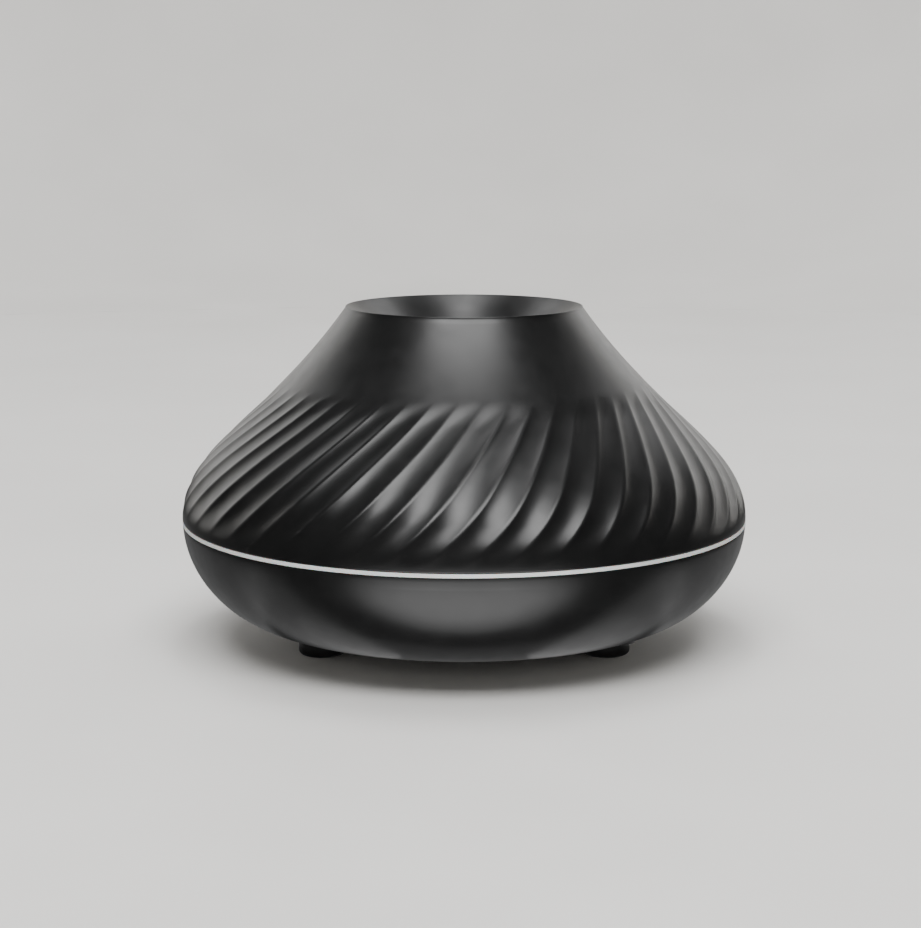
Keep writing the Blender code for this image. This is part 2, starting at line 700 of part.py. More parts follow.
def fan_frame():
    """The square frame, with the hub plate on its three arms at the intake side."""
    outline = rounded_box_outline(FAN_HALF, FAN_HALF, 3.0, (0.0, FAN_Y))
    frame = extruded("fan_frame", outline, FAN_LOW_Z, FAN_TOP_Z, component_black())
    low, high = (0, FAN_Y, FAN_LOW_Z - 2.0), (0, FAN_Y, FAN_TOP_Z + 2.0)
    cut(frame, rod("fan_bore", FAN_BORE_R, low, high, facets=MEDIUM))
    arm_top = FAN_LOW_Z + 0.9
    plate = rod("fan_hub_plate", FAN_HUB_R, (0, FAN_Y, FAN_LOW_Z), (0, FAN_Y, arm_top))
    for number, bearing in enumerate(THIRDS, start=1):
        arm = block(f"fan_arm_{number}", (3.0, -0.8, FAN_LOW_Z), (11.9, 0.8, arm_top))
        arm.location.y = FAN_Y * MM
        arm.rotation_euler.z = math.radians(bearing)
        join(frame, arm)
    join(frame, plate)
    for number, place in enumerate(fan_screw_places(), start=1):
        below = Vector((*place, FAN_LOW_Z - 1.0))
        above = Vector((*place, FAN_TOP_Z + 1.0))
        cut(frame, rod(f"fan_corner_hole_{number}", 1.4, below, above, facets=TINY))
    return frame


def fan_rotor():
    """The bladed rotor, its origin on the shaft's axis."""
    low, high = FAN_LOW_Z + 1.3, FAN_TOP_Z - 0.6
    hub = [(0.0, low), (FAN_HUB_R, low), (FAN_HUB_R, high - 0.6), (FAN_HUB_R - 0.8, high)]
    rotor = turned("fan_rotor", hub + [(0.0, high)], component_black(), SMALL)
    for number, bearing in enumerate(spread(0.0, 360.0, FAN_BLADES + 1)[:-1], start=1):
        blade = block(f"fan_blade_{number}", (4.6, -2.9, -0.45), (10.8, 2.9, 0.45))
        blade.parent = rotor
        blade.location.z = (low + high) / 2 * MM
        blade.rotation_euler = (math.radians(BLADE_PITCH), 0.0, math.radians(bearing))
        join(rotor, blade)
    rotor.location.y = FAN_Y * MM
    return rotor


def fan_gasket():
    """Foam frame that seals the fan's outlet against the tank round the air duct."""
    middle_y, trim = FAN_Y + 1.6, 1.6
    outline = rounded_box_outline(FAN_HALF, FAN_HALF - trim, 3.0, (0.0, middle_y))
    low, high = FAN_TOP_Z + GAP, TANK_UNDER_Z - 0.4
    gasket = extruded("fan_gasket", outline, low, high, foam_grey())
    hole_low, hole_high = (0, DUCT_Y, low - 1.0), (0, DUCT_Y, high + 1.0)
    cut(gasket, rod("gasket_hole", DUCT_R - 1.0, hole_low, hole_high, facets=MEDIUM))
    seat_low, seat_high = (0, 0, low - 1.0), (0, 0, high + 1.0)
    cut(gasket, rod("gasket_seat_relief", 15.0, seat_low, seat_high, facets=MEDIUM))
    for number, place in enumerate(fan_screw_places(), start=1):
        below, above = Vector((*place, low - 1.0)), Vector((*place, high + 1.0))
        cut(gasket, rod(f"gasket_notch_{number}", 3.4, below, above))
    return gasket


# ---- electronics ---------------------------------------------------------------------------


def main_board():
    outline = rounded_box_outline(25.0, 16.0, 2.0, (0.0, -11.0))
    board = extruded("main_board", outline, BOARD_LOW_Z, BOARD_TOP_Z, board_green())
    seat = BOARD_TOP_Z + GAP
    coil = [(0.0, seat), (4.5, seat), (4.5, seat + 1), (3.4, seat + 1), (3.4, seat + 4)]
    coil += [(4.5, seat + 4), (4.5, seat + 5), (0.0, seat + 5)]
    turned("driver_coil", coil, copper_winding(), SMALL).location = (-18 * MM, -12 * MM, 0)
    can = [(0.0, seat), (3.1, seat), (3.1, seat + 5.2), (2.7, seat + 5.6), (0.0, seat + 5.6)]
    turned("capacitor", can, screw_steel(), SMALL).location = (18 * MM, -14 * MM, 0)
    block("control_chip", (-4, -25, seat), (5, -18.5, seat + 1.6), component_black())
    block("driver_transistor", (-12, -26, seat), (-7, -22, seat + 4.0), component_black())
    return board


def led_board():
    """A ring-shaped board under the tank's flange, with its lights below it."""
    high = FLANGE_LOW_Z - 0.4
    low = high - 1.4
    outline = [(66.0, low), (72.6, low), (72.6, high), (66.0, high)]
    turned("led_board", outline, board_green())
    first = block("led_1", (-1.5, -1.7, low - 1.8), (1.5, 1.7, low - GAP), led_lens())
    first.location = on_circle(LED_CIRCLE_R, 30.0) * MM
    first.rotation_euler.z = math.radians(30.0)
    for number in range(2, LED_COUNT + 1):
        bearing = 30.0 + 360.0 / LED_COUNT * (number - 1)
        offset = on_circle(LED_CIRCLE_R, bearing) - on_circle(LED_CIRCLE_R, 30.0)
        repeated(f"led_{number}", first, offset, bearing)


def dc_inlet():
    """The power socket behind the round pocket at the back, and its centre pin."""
    body = block("dc_inlet", (-4.6, 54.0, 15.6), (4.6, 65.6, 25.4), component_black())
    barrel = rod("inlet_barrel", 4.6, (0, 64.0, INLET_Z), (0, INLET_FACE_Y, INLET_Z))
    join(body, barrel)
    bore = rod("inlet_bore", 2.75, (0, 59.5, INLET_Z), (0, INLET_FACE_Y + 2.0, INLET_Z))
    cut(body, bore)
    start, end = (0, 59.5 + GAP, INLET_Z), (0, INLET_FACE_Y - 0.6, INLET_Z)
    rod("dc_inlet_pin", 1.0, start, end, screw_steel(), TINY)


def switch_board():
    """The upright board that carries both switches, notched over the power socket."""
    half, low, high, notch, notch_top = 26.0, 22.0, 33.5, 7.6, 28.6
    outline = [
        (-half, -low),
        (-notch, -low),
        (-notch, -notch_top),
        (notch, -notch_top),
        (notch, -low),
        (half, -low),
        (half, -high),
        (-half, -high),
    ]
    low_y, high_y = SWITCH_BOARD_Y, SWITCH_BOARD_Y + BOARD
    board = extruded("switch_board", outline, low_y, high_y, board_green())
    board.rotation_euler.x = math.radians(-90)
    return board


def button(side, sign):
    """A push button with its switch: the cap follows the bowl's outside."""
    x, z = sign * BUTTON_X, BUTTON_Z
    front = SWITCH_BOARD_Y + BOARD + GAP
    body = block(
        f"{side}_switch", (x - 3, front, z - 3), (x + 3, front + 2.6, z + 3), component_black()
    )
    cut(body, rod(f"{side}_switch_bore", 1.95, (x, front + 1.2, z), (x, front + 5.0, z)))
    back, neck = BUTTON_FLANGE_Y, BUTTON_FLANGE_Y + BUTTON_FLANGE
    rod(f"{side}_plunger", 1.6, (x, front + 2.2, z), (x, back - GAP, z), screw_steel(), TINY)
    cap = rod(f"{side}_button", BUTTON_R, (x, neck - 0.2, z), (x, 88.0, z), satin_black(), MEDIUM)
    outline = [(0.0, BOWL_TOP_Z), *bowl_outside(-BUTTON_PROUD), (0.0, 8.0)]
    combine(cap, turned(f"{side}_button_envelope", outline), "INTERSECT")
    ends = (x, back, z), (x, neck, z)
    join(cap, rod(f"{side}_button_flange", BUTTON_FLANGE_R, *ends, facets=MEDIUM))


def lead(name, route, radius=0.7):
    """An internal wire: a tube along a smooth curve through its route's points."""
    ends = [2 * Vector(route[0]) - Vector(route[1]), 2 * Vector(route[-1]) - Vector(route[-2])]
    knots = [ends[0], *map(Vector, route), ends[1]]
    points = []
    for a, b, c, d in zip(knots, knots[1:], knots[2:], knots[3:]):
        for t in (0.0, 0.33, 0.67):
            smooth = 2 * b + (c - a) * t + (2 * a - 5 * b + 4 * c - d) * t * t
            points.append((smooth + (3 * b - a - 3 * c + d) * t**3) / 2)
    points.append(knots[-2])
    curve = bpy.data.curves.new(name, "CURVE")
    curve.dimensions = "3D"
    curve.bevel_depth = radius * MM
    curve.bevel_resolution = 1
    curve.use_fill_caps = True
    spline = curve.splines.new("POLY")
    spline.points.add(len(points) - 1)
    for spot, point in zip(spline.points, points):
        spot.co = (*(point * MM), 1.0)
    curve.materials.append(lead_red())
    obj = bpy.data.objects.new(name, curve)
    bpy.context.scene.collection.objects.link(obj)


def leads():
    lead("power_lead", [(2, 53, 18), (19, 47, 13.5), (24, 30, 12), (22, 14, 11), (19, 1, 10.3)])
    lead("atomiser_lead", [(2, -2, 15.0), (3, -4, 12.6), (7, -9, 10.3)])
    lead("fan_lead", [(-13.4, 21, 9), (-17, 15, 9.6), (-16.5, 8, 10.3), (-14, 1, 10.3)])
    lead("led_lead", [(-34, -56, 35.4), (-33, -54, 22), (-30, -42, 12), (-21, -22, 10.3)])
    lead("switch_lead", [(-17, 65, 24), (-22, 54, 14), (-24, 34, 11), (-22, 14, 10.6), (-20, 1, 10.3)])


def electronics():
    main_board()
    led_board()
    dc_inlet()
    switch_board()
    for side, sign in (("mist", -1), ("light", 1)):
        button(side, sign)
    leads()


def base():
    base_bowl()
    light_ring()
    bottom_cover()
    feet()
    water_tank()
    tank_seal()
    atomiser()
    screws("case_screw", 2.8, 14.6, 1.3, 1.4, 33.0, thirds(CASE_SCREW_R, CASE_THIRDS))
    screws("cover_screw", 2.5, 2.95, 0.65, 1.2, 8.4, thirds(COVER_SCREW_R))


def fan():
    fan_frame()
    fan_rotor()
    fan_gasket()
    screws("fan_screw", 2.0, 13.9, 1.2, 0.9, 3.2, fan_screw_places())


def main():
    clear_scene()
    base()
    fan()
    electronics()
    lid()


main()
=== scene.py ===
"""The looks of the ultrasonic oil diffuser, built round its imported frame.

Z points up and the front faces -Y. Named dimensions are in millimetres, and MM turns them
into metres where a mesh is made.
"""

import json
import math

import bmesh
import bpy
import numpy as np
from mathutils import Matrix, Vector

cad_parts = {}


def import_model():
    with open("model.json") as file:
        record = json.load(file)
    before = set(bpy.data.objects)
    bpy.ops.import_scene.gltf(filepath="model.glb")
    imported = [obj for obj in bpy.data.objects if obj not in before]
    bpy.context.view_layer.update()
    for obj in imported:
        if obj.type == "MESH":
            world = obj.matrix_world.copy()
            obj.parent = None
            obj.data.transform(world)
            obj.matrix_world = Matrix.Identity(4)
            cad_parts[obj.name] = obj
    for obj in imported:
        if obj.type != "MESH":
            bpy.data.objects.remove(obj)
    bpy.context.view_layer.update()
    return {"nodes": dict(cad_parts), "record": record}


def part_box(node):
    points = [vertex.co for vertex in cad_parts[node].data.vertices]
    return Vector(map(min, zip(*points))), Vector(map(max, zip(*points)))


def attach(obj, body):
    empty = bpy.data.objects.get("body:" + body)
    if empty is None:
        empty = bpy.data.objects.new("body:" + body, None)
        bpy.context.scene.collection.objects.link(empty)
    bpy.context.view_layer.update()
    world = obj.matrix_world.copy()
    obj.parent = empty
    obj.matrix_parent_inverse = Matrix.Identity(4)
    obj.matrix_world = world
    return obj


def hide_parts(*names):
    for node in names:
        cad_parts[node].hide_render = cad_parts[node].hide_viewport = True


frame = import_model()
NODES = frame["nodes"]
MM = 0.001


def low(node):
    """A node's lowest corner, in millimetres."""
    return [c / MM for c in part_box(node)[0]]


def high(node):
    """A node's highest corner, in millimetres."""
    return [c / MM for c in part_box(node)[1]]


# Outer shape, as in the frame: two Bezier curves of (radius, height) that meet at the belly.
BELLY_R, BELLY_Z = 83.1, high("light_ring")[2]
RIM_R, RIM_Z = 34.9, 97.9
LID_CURVE = ((BELLY_R, BELLY_Z), (BELLY_R, 57.25), (59.9, 63.3), (RIM_R, RIM_Z))
BOWL_CURVE = ((BELLY_R, BELLY_Z), (BELLY_R, 21.6), (71.6, 9.85), (60.0, 7.1))
BASE_FLAT_R, BASE_FLAT_Z = 42.2, 3.0
CRATER_CURVE = ((33.99, 98.266), (27.0, 94.1), (18.0, 84.6), (8.2, 83.4))
WALL, CRATER_WALL = 2.2, 1.8
LID_FOOT_Z = 36.9
RING_R, RING_LOW_Z, RING_TOP_Z = 83.12, 35.67, 36.75
BOWL_TOP_Z = 35.55

# The lid's rim above its outer curve, as (radius, height): rounded over, then stepped down
# to the ledge on which the crater sits.
LID_RIM = ((34.79, 98.18), (34.75, 98.33), (34.67, 98.46), (34.57, 98.53), (34.48, 98.54))
LID_RIM += ((34.39, 98.505), (34.37, 98.493), (34.11, 98.336), (34.085, 98.321))
LID_RIM += ((34.072, 98.305),)
LID_LEDGE = ((34.07, 97.3), (34.0, 97.2), (32.4, 96.3), (32.4, 95.9))

# Flutes: rounded crests follow the outer curve, and concave valleys are sunk between them.
# They run from the toe height to the head height, and lean further below the flare height.
FLUTES = 48
FLUTE_DEPTH = 0.093  # as a share of the distance between two crests
CREST_ROUNDING = 0.085  # half the rounded width of a crest, as a share of the same distance
FLUTE_TOE_Z, FLUTE_FLARE_Z, FLUTE_HEAD_Z = 38.0, 57.0, 77.6
TOE_RISE, HEAD_RISE = 10.5, 6.5  # the heights over which the depth fades in and out
FLUTE_LEAN, TOE_LEAN = 29.5, 51.2  # degrees from straight down the slope
CREST_ANGLE, CREST_Z = -88.05, 62.4  # where one crest crosses a known bearing

FRONT = -90.0  # the bearing of the front, in degrees

# Threes of equal features: their bearings in degrees, and the radii of their circles.
THIRDS = (-90.0, 30.0, 150.0)
CASE_THIRDS = (-165.0, -45.0, 75.0)
FOOT_THIRDS = (-150.0, -30.0, 90.0)
CHIMNEY_SCREW_R, RETAINER_SCREW_R, COVER_SCREW_R, CASE_SCREW_R = 15.6, 18.6, 34.5, 61.0
FOOT_CIRCLE_R = 47.3

# Smaller features. The tank wall's inner face runs between two points (radius, height).
TANK_WALL = ((49.0, 23.0), (51.4, 49.5))
DUCT_CENTRE = (0, 25)
INTAKE_Y, INTAKE_R, INTAKE_SLOTS = 22, 10.5, 7
BUTTON_X, BUTTON_Z = 19.0, 28.5
BUTTON_R, BUTTON_PROUD, BUTTON_FLANGE_R = 4.4, 0.5, 5.2
MARK_DEPTH = 0.35
SOCKET_Z = 20.5
THREAD_PITCH = 0.8

# Mesh fineness: sides of a round shape, and the angle in degrees that stays a crisp edge.
SMOOTH_FACETS = 240
SMALL_FACETS = 64
HOLE_FACETS = 32
CRISP_ANGLE = 35.0

# The camera aims at a height from a distance, both in metres, and looks down by some degrees.
CAMERA_AIM_Z, CAMERA_DISTANCE, CAMERA_ELEVATION = 0.05136, 0.6283, 9.85
SENSOR_WIDTH, LENS, LENS_SHIFT = 36.0, 82.2, -0.0039

# The studio's round floor and curved wall, and the lights, whose places are in metres.
STUDIO_R, STUDIO_BEND, STUDIO_HEIGHT = 1500.0, 500.0, 900.0
LEFT_GAIN, RIGHT_GAIN = 0.88, 1.12  # the light from the right is a little stronger

# Glowing ellipses just over the floor, for the reflections that run along the bowl:
# name, place (x, y), size (width, depth) and radiance.
MIDDLE_CARDS = (
    ("front_card", (0.0, -0.120), (0.09, 0.06), 1.7),
    ("front_middle_card", (0.0, -0.135), (0.13, 0.10), 0.9),
    ("front_far_card", (0.0, -0.215), (0.22, 0.27), 1.0),
    ("under_card", (0.0, -0.057), (0.12, 0.024), 0.20),
    ("back_card", (0.0, 0.125), (0.09, 0.08), 1.2),
    ("back_middle_card", (0.0, 0.150), (0.15, 0.12), 0.6),
    ("back_far_card", (0.0, 0.200), (0.24, 0.25), 0.6),
)


# ---- curves and outlines -------------------------------------------------------------------


def bezier(curve, t):
    """The point of a cubic curve at a share of its run."""
    s = 1.0 - t
    weights = (s * s * s, 3 * s * s * t, 3 * s * t * t, t * t * t)
    return (
        sum(w * p[0] for w, p in zip(weights, curve)),
        sum(w * p[1] for w, p in zip(weights, curve)),
    )


def share_at_height(curve, height):
    """The t at which a curve passes a height."""
    below, above = 0.0, 1.0
    rises = curve[3][1] > curve[0][1]
    for _ in range(40):
        middle = (below + above) / 2
        if (bezier(curve, middle)[1] < height) == rises:
            below = middle
        else:
            above = middle
    return (below + above) / 2


def radius_at(curve, height):
    return bezier(curve, share_at_height(curve, height))[0]


def beside(curve, t, distance):
    """A point off the curve; a positive distance lies to the left of the curve's run."""
    before, after = bezier(curve, max(t - 1e-4, 0.0)), bezier(curve, min(t + 1e-4, 1.0))
    run = Vector((after[0] - before[0], after[1] - before[1])).normalized()
    radius, height = bezier(curve, t)
    return radius - run.y * distance, height + run.x * distance


def spread(start, end, count):
    """Evenly spaced numbers, both ends among them."""
    return [start + (end - start) * i / (count - 1) for i in range(count)]


def on_circle(radius, bearing, height=0.0):
    """A point at a radius, a bearing in degrees and a height."""
    angle = math.radians(bearing)
    return Vector((radius * math.cos(angle), radius * math.sin(angle), height))


def thirds(radius, bearings=THIRDS):
    """Three spots on a circle."""
    return [on_circle(radius, bearing) for bearing in bearings]


def rounded(points, radii, steps=5):
    """A closed outline with each corner replaced by a fillet of its own radius."""
    result = []
    for i, corner in enumerate(points):
        radius = radii[i] if hasattr(radii, "__len__") else radii
        middle = Vector(corner)
        to_last = Vector(points[i - 1]) - middle
        to_next = Vector(points[(i + 1) % len(points)]) - middle
        if radius <= 0 or corner[0] <= 0:
            result.append(tuple(middle))
            continue
        half = to_last.angle(to_next) / 2
        longest = 0.45 * min(to_last.length, to_next.length)
        reach = min(radius / math.tan(half), longest)
        start = middle + to_last.normalized() * reach
        end = middle + to_next.normalized() * reach
        for t in spread(0.0, 1.0, steps):
            first, second = start.lerp(middle, t), middle.lerp(end, t)
            result.append(tuple(first.lerp(second, t)))
    return result


# ---- meshes --------------------------------------------------------------------------------


class Rings:
    """Vertices gathered ring by ring, and the vertex numbers of each ring."""

    def __init__(self):
        self.verts, self.rings = [], []

    def add(self, points):
        first = len(self.verts)
        self.verts.extend(points)
        self.rings.append(range(first, len(self.verts)))


def solid(name, verts, faces, sharp=CRISP_ANGLE):
    """A closed mesh in millimetres becomes an object in metres, facing out, shaded smooth."""
    mesh = bpy.data.meshes.new(name)
    mesh.from_pydata([tuple(c * MM for c in v) for v in verts], [], faces)
    bm = bmesh.new()
    bm.from_mesh(mesh)
    bmesh.ops.remove_doubles(bm, verts=bm.verts, dist=1e-8)
    bmesh.ops.recalc_face_normals(bm, faces=bm.faces)
    bm.to_mesh(mesh)
    bm.free()
    mesh.shade_smooth()
    mesh.set_sharp_from_angle(angle=math.radians(sharp))
    obj = bpy.data.objects.new(name, mesh)
    bpy.context.scene.collection.objects.link(obj)
    return obj


def bridged(rings, closed):
    """Faces between rings of vertex numbers; a ring of one vertex is a pole."""
    faces = []
    pairs = list(zip(rings, rings[1:]))
    if closed:
        pairs.append((rings[-1], rings[0]))
    for first, second in pairs:
        count = max(len(first), len(second))
        for i in range(count):
            after = (i + 1) % count
            if len(first) == 1:
                faces.append((first[0], second[after], second[i]))
            elif len(second) == 1:
                faces.append((first[i], first[after], second[0]))
            else:
                faces.append((first[i], first[after], second[after], second[i]))
    return faces


def lathe(name, outline, facets=SMOOTH_FACETS, centre=(0.0, 0.0), sharp=CRISP_ANGLE):
    """An outline of (radius, height) spun round a vertical axis."""
    shape = Rings()
    bearings = spread(0.0, 360.0, facets + 1)[:-1]
    for radius, height in outline:
        if radius < 1e-6:
            shape.add([(centre[0], centre[1], height)])
        else:
            spots = [on_circle(radius, bearing) for bearing in bearings]
            shape.add([(spot.x + centre[0], spot.y + centre[1], height) for spot in spots])
    closed = len(shape.rings[0]) > 1 or len(shape.rings[-1]) > 1
    return solid(name, shape.verts, bridged(shape.rings, closed), sharp)


def prism(name, outline, start, end):
    """A flat (x, y) outline raised from one height to another."""
    count = len(outline)
    verts = [(x, y, start) for x, y in outline] + [(x, y, end) for x, y in outline]
    faces = [tuple(range(count)), tuple(range(2 * count - 1, count - 1, -1))]
    for i in range(count):
        after = (i + 1) % count
        faces.append((i, after, after + count, i + count))
    return solid(name, verts, faces)


def box_outline(x0, x1, y0, y1, corner=0.0):
    """A rectangle with round corners, shifted while it is rounded so that every x is above 0."""
    points = [(x0, y0), (x1, y0), (x1, y1), (x0, y1)]
    shifted = [(x - x0 + 1, y) for x, y in points]
    return [(x + x0 - 1, y) for x, y in rounded(shifted, corner, 6)]


def rod(name, radius, start, end, facets=SMALL_FACETS):
    """A cylinder from one point to another, its place applied to its mesh."""
    run = Vector(end) - Vector(start)
    obj = lathe(name, [(0, 0), (radius, 0), (radius, run.length), (0, run.length)], facets)
    turn = run.to_track_quat("Z", "Y").to_matrix().to_4x4()
    turn.translation = Vector(start) * MM
    obj.data.transform(turn)
    return obj


def post(name, radius, spot, start, end, facets=SMALL_FACETS):
    """An upright cylinder over a spot on the ground, from one height to another."""
    return rod(name, radius, spot + Vector((0, 0, start)), spot + Vector((0, 0, end)), facets)


def posts(name, radius, spots, start, end, facets=SMALL_FACETS):
    """The same upright cylinder over each of several spots."""
    return [post(name, radius, spot, start, end, facets) for spot in spots]


def on_turn(point, bearing):
    """A point turned about the Z axis."""
    angle = math.radians(bearing)
    cos, sin = math.cos(angle), math.sin(angle)
    return Vector((point.x * cos - point.y * sin, point.x * sin + point.y * cos, point.z))


def turned(obj, bearing):
    """Turns the mesh of an object about the Z axis."""
    for vertex in obj.data.vertices:
        vertex.co = on_turn(vertex.co, bearing)
    return obj


def upright(obj, depth_start):
    """Stands a prism made in (x, z) up, so that its height runs along +Y from depth_start. The
    swap of two axes turns its faces inside out, so they are flipped back."""
    for vertex in obj.data.vertices:
        x, z, y = vertex.co
        vertex.co = (x, y + depth_start * MM, z)
    obj.data.flip_normals()
    return obj


def along_y(obj, z):
    """Lays a lathed shape down so that its axis runs along Y at a height."""
    for vertex in obj.data.vertices:
        vertex.co = (vertex.co.x, vertex.co.z, -vertex.co.y + z * MM)
    return obj


def shaped(target, operation, tools):
    """Applies a Boolean of every tool to the target, then removes the tools."""
    for tool in tools:
        modifier = target.modifiers.new("shape", "BOOLEAN")
        modifier.operation = operation
        modifier.object = tool
    graph = bpy.context.evaluated_depsgraph_get()
    mesh = bpy.data.meshes.new_from_object(target.evaluated_get(graph))
    target.modifiers.clear()
    target.data = mesh
    for tool in tools:
        bpy.data.objects.remove(tool)
    mesh.shade_smooth()
    mesh.set_sharp_from_angle(angle=math.radians(CRISP_ANGLE))
    return target


def carved(target, *tools):
    return shaped(target, "DIFFERENCE", tools)


def joined(target, *tools):
    return shaped(target, "UNION", tools)


# ---- materials -----------------------------------------------------------------------------


class Nodes:
    """Builds a node material: each call adds a node, and links go by socket name."""

    def __init__(self, name):
        self.material = bpy.data.materials.new(name)
        self.material.use_nodes = True
        self.tree = self.material.node_tree
        self.shader = self.tree.nodes["Principled BSDF"]
        coordinates = self.tree.nodes.new("ShaderNodeTexCoord")
        self.place = coordinates.outputs["Object"]

    def set(self, **values):
        """Sets the shader's own sockets, by name."""
        for name, value in values.items():
            self.shader.inputs[name.replace("_", " ")].default_value = value

    def noise(self, size_mm, detail=3.0, stretch=None):
        """Noise whose features are about size_mm across."""
        source = self.place
        if stretch:
            mapping = self.tree.nodes.new("ShaderNodeMapping")
            mapping.inputs["Scale"].default_value = stretch
            self.tree.links.new(source, mapping.inputs["Vector"])
            source = mapping.outputs["Vector"]
        node = self.tree.nodes.new("ShaderNodeTexNoise")
        node.inputs["Scale"].default_value = 1.0 / (size_mm * MM)
        node.inputs["Detail"].default_value = detail
        self.tree.links.new(source, node.inputs["Vector"])
        return node.outputs["Fac"]

    def patches(self, size_mm, first, second, detail=3.0, start=0.3, end=0.7, stretch=None):
        """Soft patches of two colours or two numbers, about size_mm across."""
        return self.ramp(self.noise(size_mm, detail, stretch), start, end, first, second)

    def ramp(self, source, start, end, first, second):
        """Maps a value range onto two colours or two numbers."""
        node = self.tree.nodes.new("ShaderNodeValToRGB")
        stops = node.color_ramp.elements
        stops[0].position, stops[1].position = start, end
        for stop, value in zip(stops, (first, second)):
            colour = value if hasattr(value, "__len__") else (value, value, value)
            stop.color = (*colour, 1.0)
        self.tree.links.new(source, node.inputs["Fac"])
        return node.outputs["Color"]

    def mix(self, factor, first, second):
        node = self.tree.nodes.new("ShaderNodeMix")
        node.data_type = "RGBA"
        self.tree.links.new(factor, node.inputs["Factor"])
        self.tree.links.new(first, node.inputs["A"])
        self.tree.links.new(second, node.inputs["B"])
        return node.outputs["Result"]

    def edges(self):
        """White on convex edges, from the surface's own curvature: the mask of a painted edge
        highlight.
        """
        node = self.tree.nodes.new("ShaderNodeNewGeometry")
        return self.ramp(node.outputs["Pointiness"], 0.52, 0.62, 0.0, 1.0)

    def colour(self, source):
        self.tree.links.new(source, self.shader.inputs["Base Color"])

    def roughness(self, source):
        self.tree.links.new(source, self.shader.inputs["Roughness"])

    def bump(self, source, strength, distance_mm):
        node = self.tree.nodes.new("ShaderNodeBump")
        node.inputs["Strength"].default_value = strength
        node.inputs["Distance"].default_value = distance_mm * MM
        self.tree.links.new(source, node.inputs["Height"])
        self.tree.links.new(node.outputs["Normal"], self.shader.inputs["Normal"])


def moulded_plastic(name, dark, light, rough_low, rough_high):
    """Moulded plastic: cloudy colour, a painted highlight that makes convex edges paler, uneven
    gloss and a fine eroded grain.
    """
    m = Nodes(name)
    m.set(IOR=1.55)
    # Painted highlight: convex edges take a paler colour, as if they caught the light.
    edge_highlight_tone = tuple(c * 1.8 + 0.01 for c in light)
    edge = m.patches(22.0, light, edge_highlight_tone, detail=2.0)
    m.colour(m.mix(m.edges(), m.patches(9.0, dark, light, start=0.35), edge))
    m.roughness(m.patches(5.0, rough_low, rough_high, detail=4.0))
    m.bump(m.noise(0.35, 2.0), 0.06, 0.02)
    return m.material


def satin_black():
    tone, tint = (0.0040, 0.0040, 0.0041), (0.0055, 0.0055, 0.0056)
    return moulded_plastic("satin_black", tone, tint, 0.29, 0.35)


def inner_plastic():
    tone, tint = (0.028, 0.028, 0.030), (0.034, 0.034, 0.036)
    return moulded_plastic("inner_plastic", tone, tint, 0.38, 0.48)


def component_plastic():
    tone, tint = (0.010, 0.010, 0.010), (0.020, 0.020, 0.020)
    return moulded_plastic("component_plastic", tone, tint, 0.45, 0.6)


def frosted_ring():
    """Milky light guide: a little light passes under its surface."""
    m = Nodes("frosted_ring")
    m.set(IOR=1.5, Subsurface_Weight=0.25, Subsurface_Scale=0.002)
    m.colour(m.patches(14.0, (0.50, 0.51, 0.51), (0.56, 0.57, 0.57), detail=2.0))
    m.roughness(m.patches(3.0, 0.42, 0.52))
    m.bump(m.noise(0.5, 2.0), 0.05, 0.02)
    return m.material


def rubber():
    m = Nodes("rubber")
    m.set(IOR=1.5)
    m.colour(m.patches(2.5, (0.005, 0.005, 0.005), (0.011, 0.011, 0.011), detail=4.0, end=0.75))
    m.roughness(m.patches(1.6, 0.34, 0.46))
    m.bump(m.noise(0.3, 3.0), 0.1, 0.02)
    return m.material


def silicone():
    m = Nodes("silicone")
    m.set(IOR=1.42, Subsurface_Weight=0.35, Subsurface_Scale=0.0015)
    m.colour(m.patches(4.0, (0.60, 0.60, 0.57), (0.70, 0.70, 0.67)))
    m.roughness(m.patches(1.2, 0.4, 0.6))
    m.bump(m.noise(0.4), 0.1, 0.02)
    return m.material


def metal(name, dark, light, rough_low, rough_high, stretch=None):
    m = Nodes(name)
    m.set(Metallic=1.0)
    m.colour(m.patches(2.0, dark, light, detail=4.0))
    m.roughness(m.patches(0.8, rough_low, rough_high, detail=4.0, stretch=stretch))
    m.bump(m.noise(0.25, 3.0, stretch), 0.08, 0.01)
    return m.material


def zinc_steel():
    return metal("zinc_steel", (0.42, 0.42, 0.44), (0.62, 0.62, 0.64), 0.24, 0.42)


def nickel_disc():
    """The atomiser's metal face, with the mineral bloom that water leaves on it."""
    return metal("nickel_disc", (0.50, 0.40, 0.24), (0.72, 0.62, 0.42), 0.22, 0.45)


def copper():
    return metal("copper", (0.50, 0.18, 0.07), (0.68, 0.30, 0.12), 0.25, 0.4, (1, 1, 12))


def circuit_board():
    """Green solder mask over faint copper tracks."""
    m = Nodes("circuit_board")
    bricks = m.tree.nodes.new("ShaderNodeTexBrick")
    bricks.inputs["Scale"].default_value = 160.0
    bricks.inputs["Mortar Size"].default_value = 0.03
    bricks.inputs["Color1"].default_value = (0.010, 0.085, 0.035, 1)
    bricks.inputs["Color2"].default_value = (0.014, 0.110, 0.045, 1)
    bricks.inputs["Mortar"].default_value = (0.030, 0.190, 0.080, 1)
    m.tree.links.new(m.place, bricks.inputs["Vector"])
    m.colour(bricks.outputs["Color"])
    m.roughness(m.patches(3.0, 0.28, 0.42))
    m.bump(bricks.outputs["Fac"], 0.15, 0.03)
    return m.material


def led_lens():
    m = Nodes("led_lens")
    m.set(IOR=1.5, Subsurface_Weight=0.2, Subsurface_Scale=0.0006)
    m.colour(m.patches(1.2, (0.80, 0.74, 0.45), (0.86, 0.84, 0.74), start=0.4, end=0.6))
    m.roughness(m.patches(0.8, 0.12, 0.22))
    return m.material


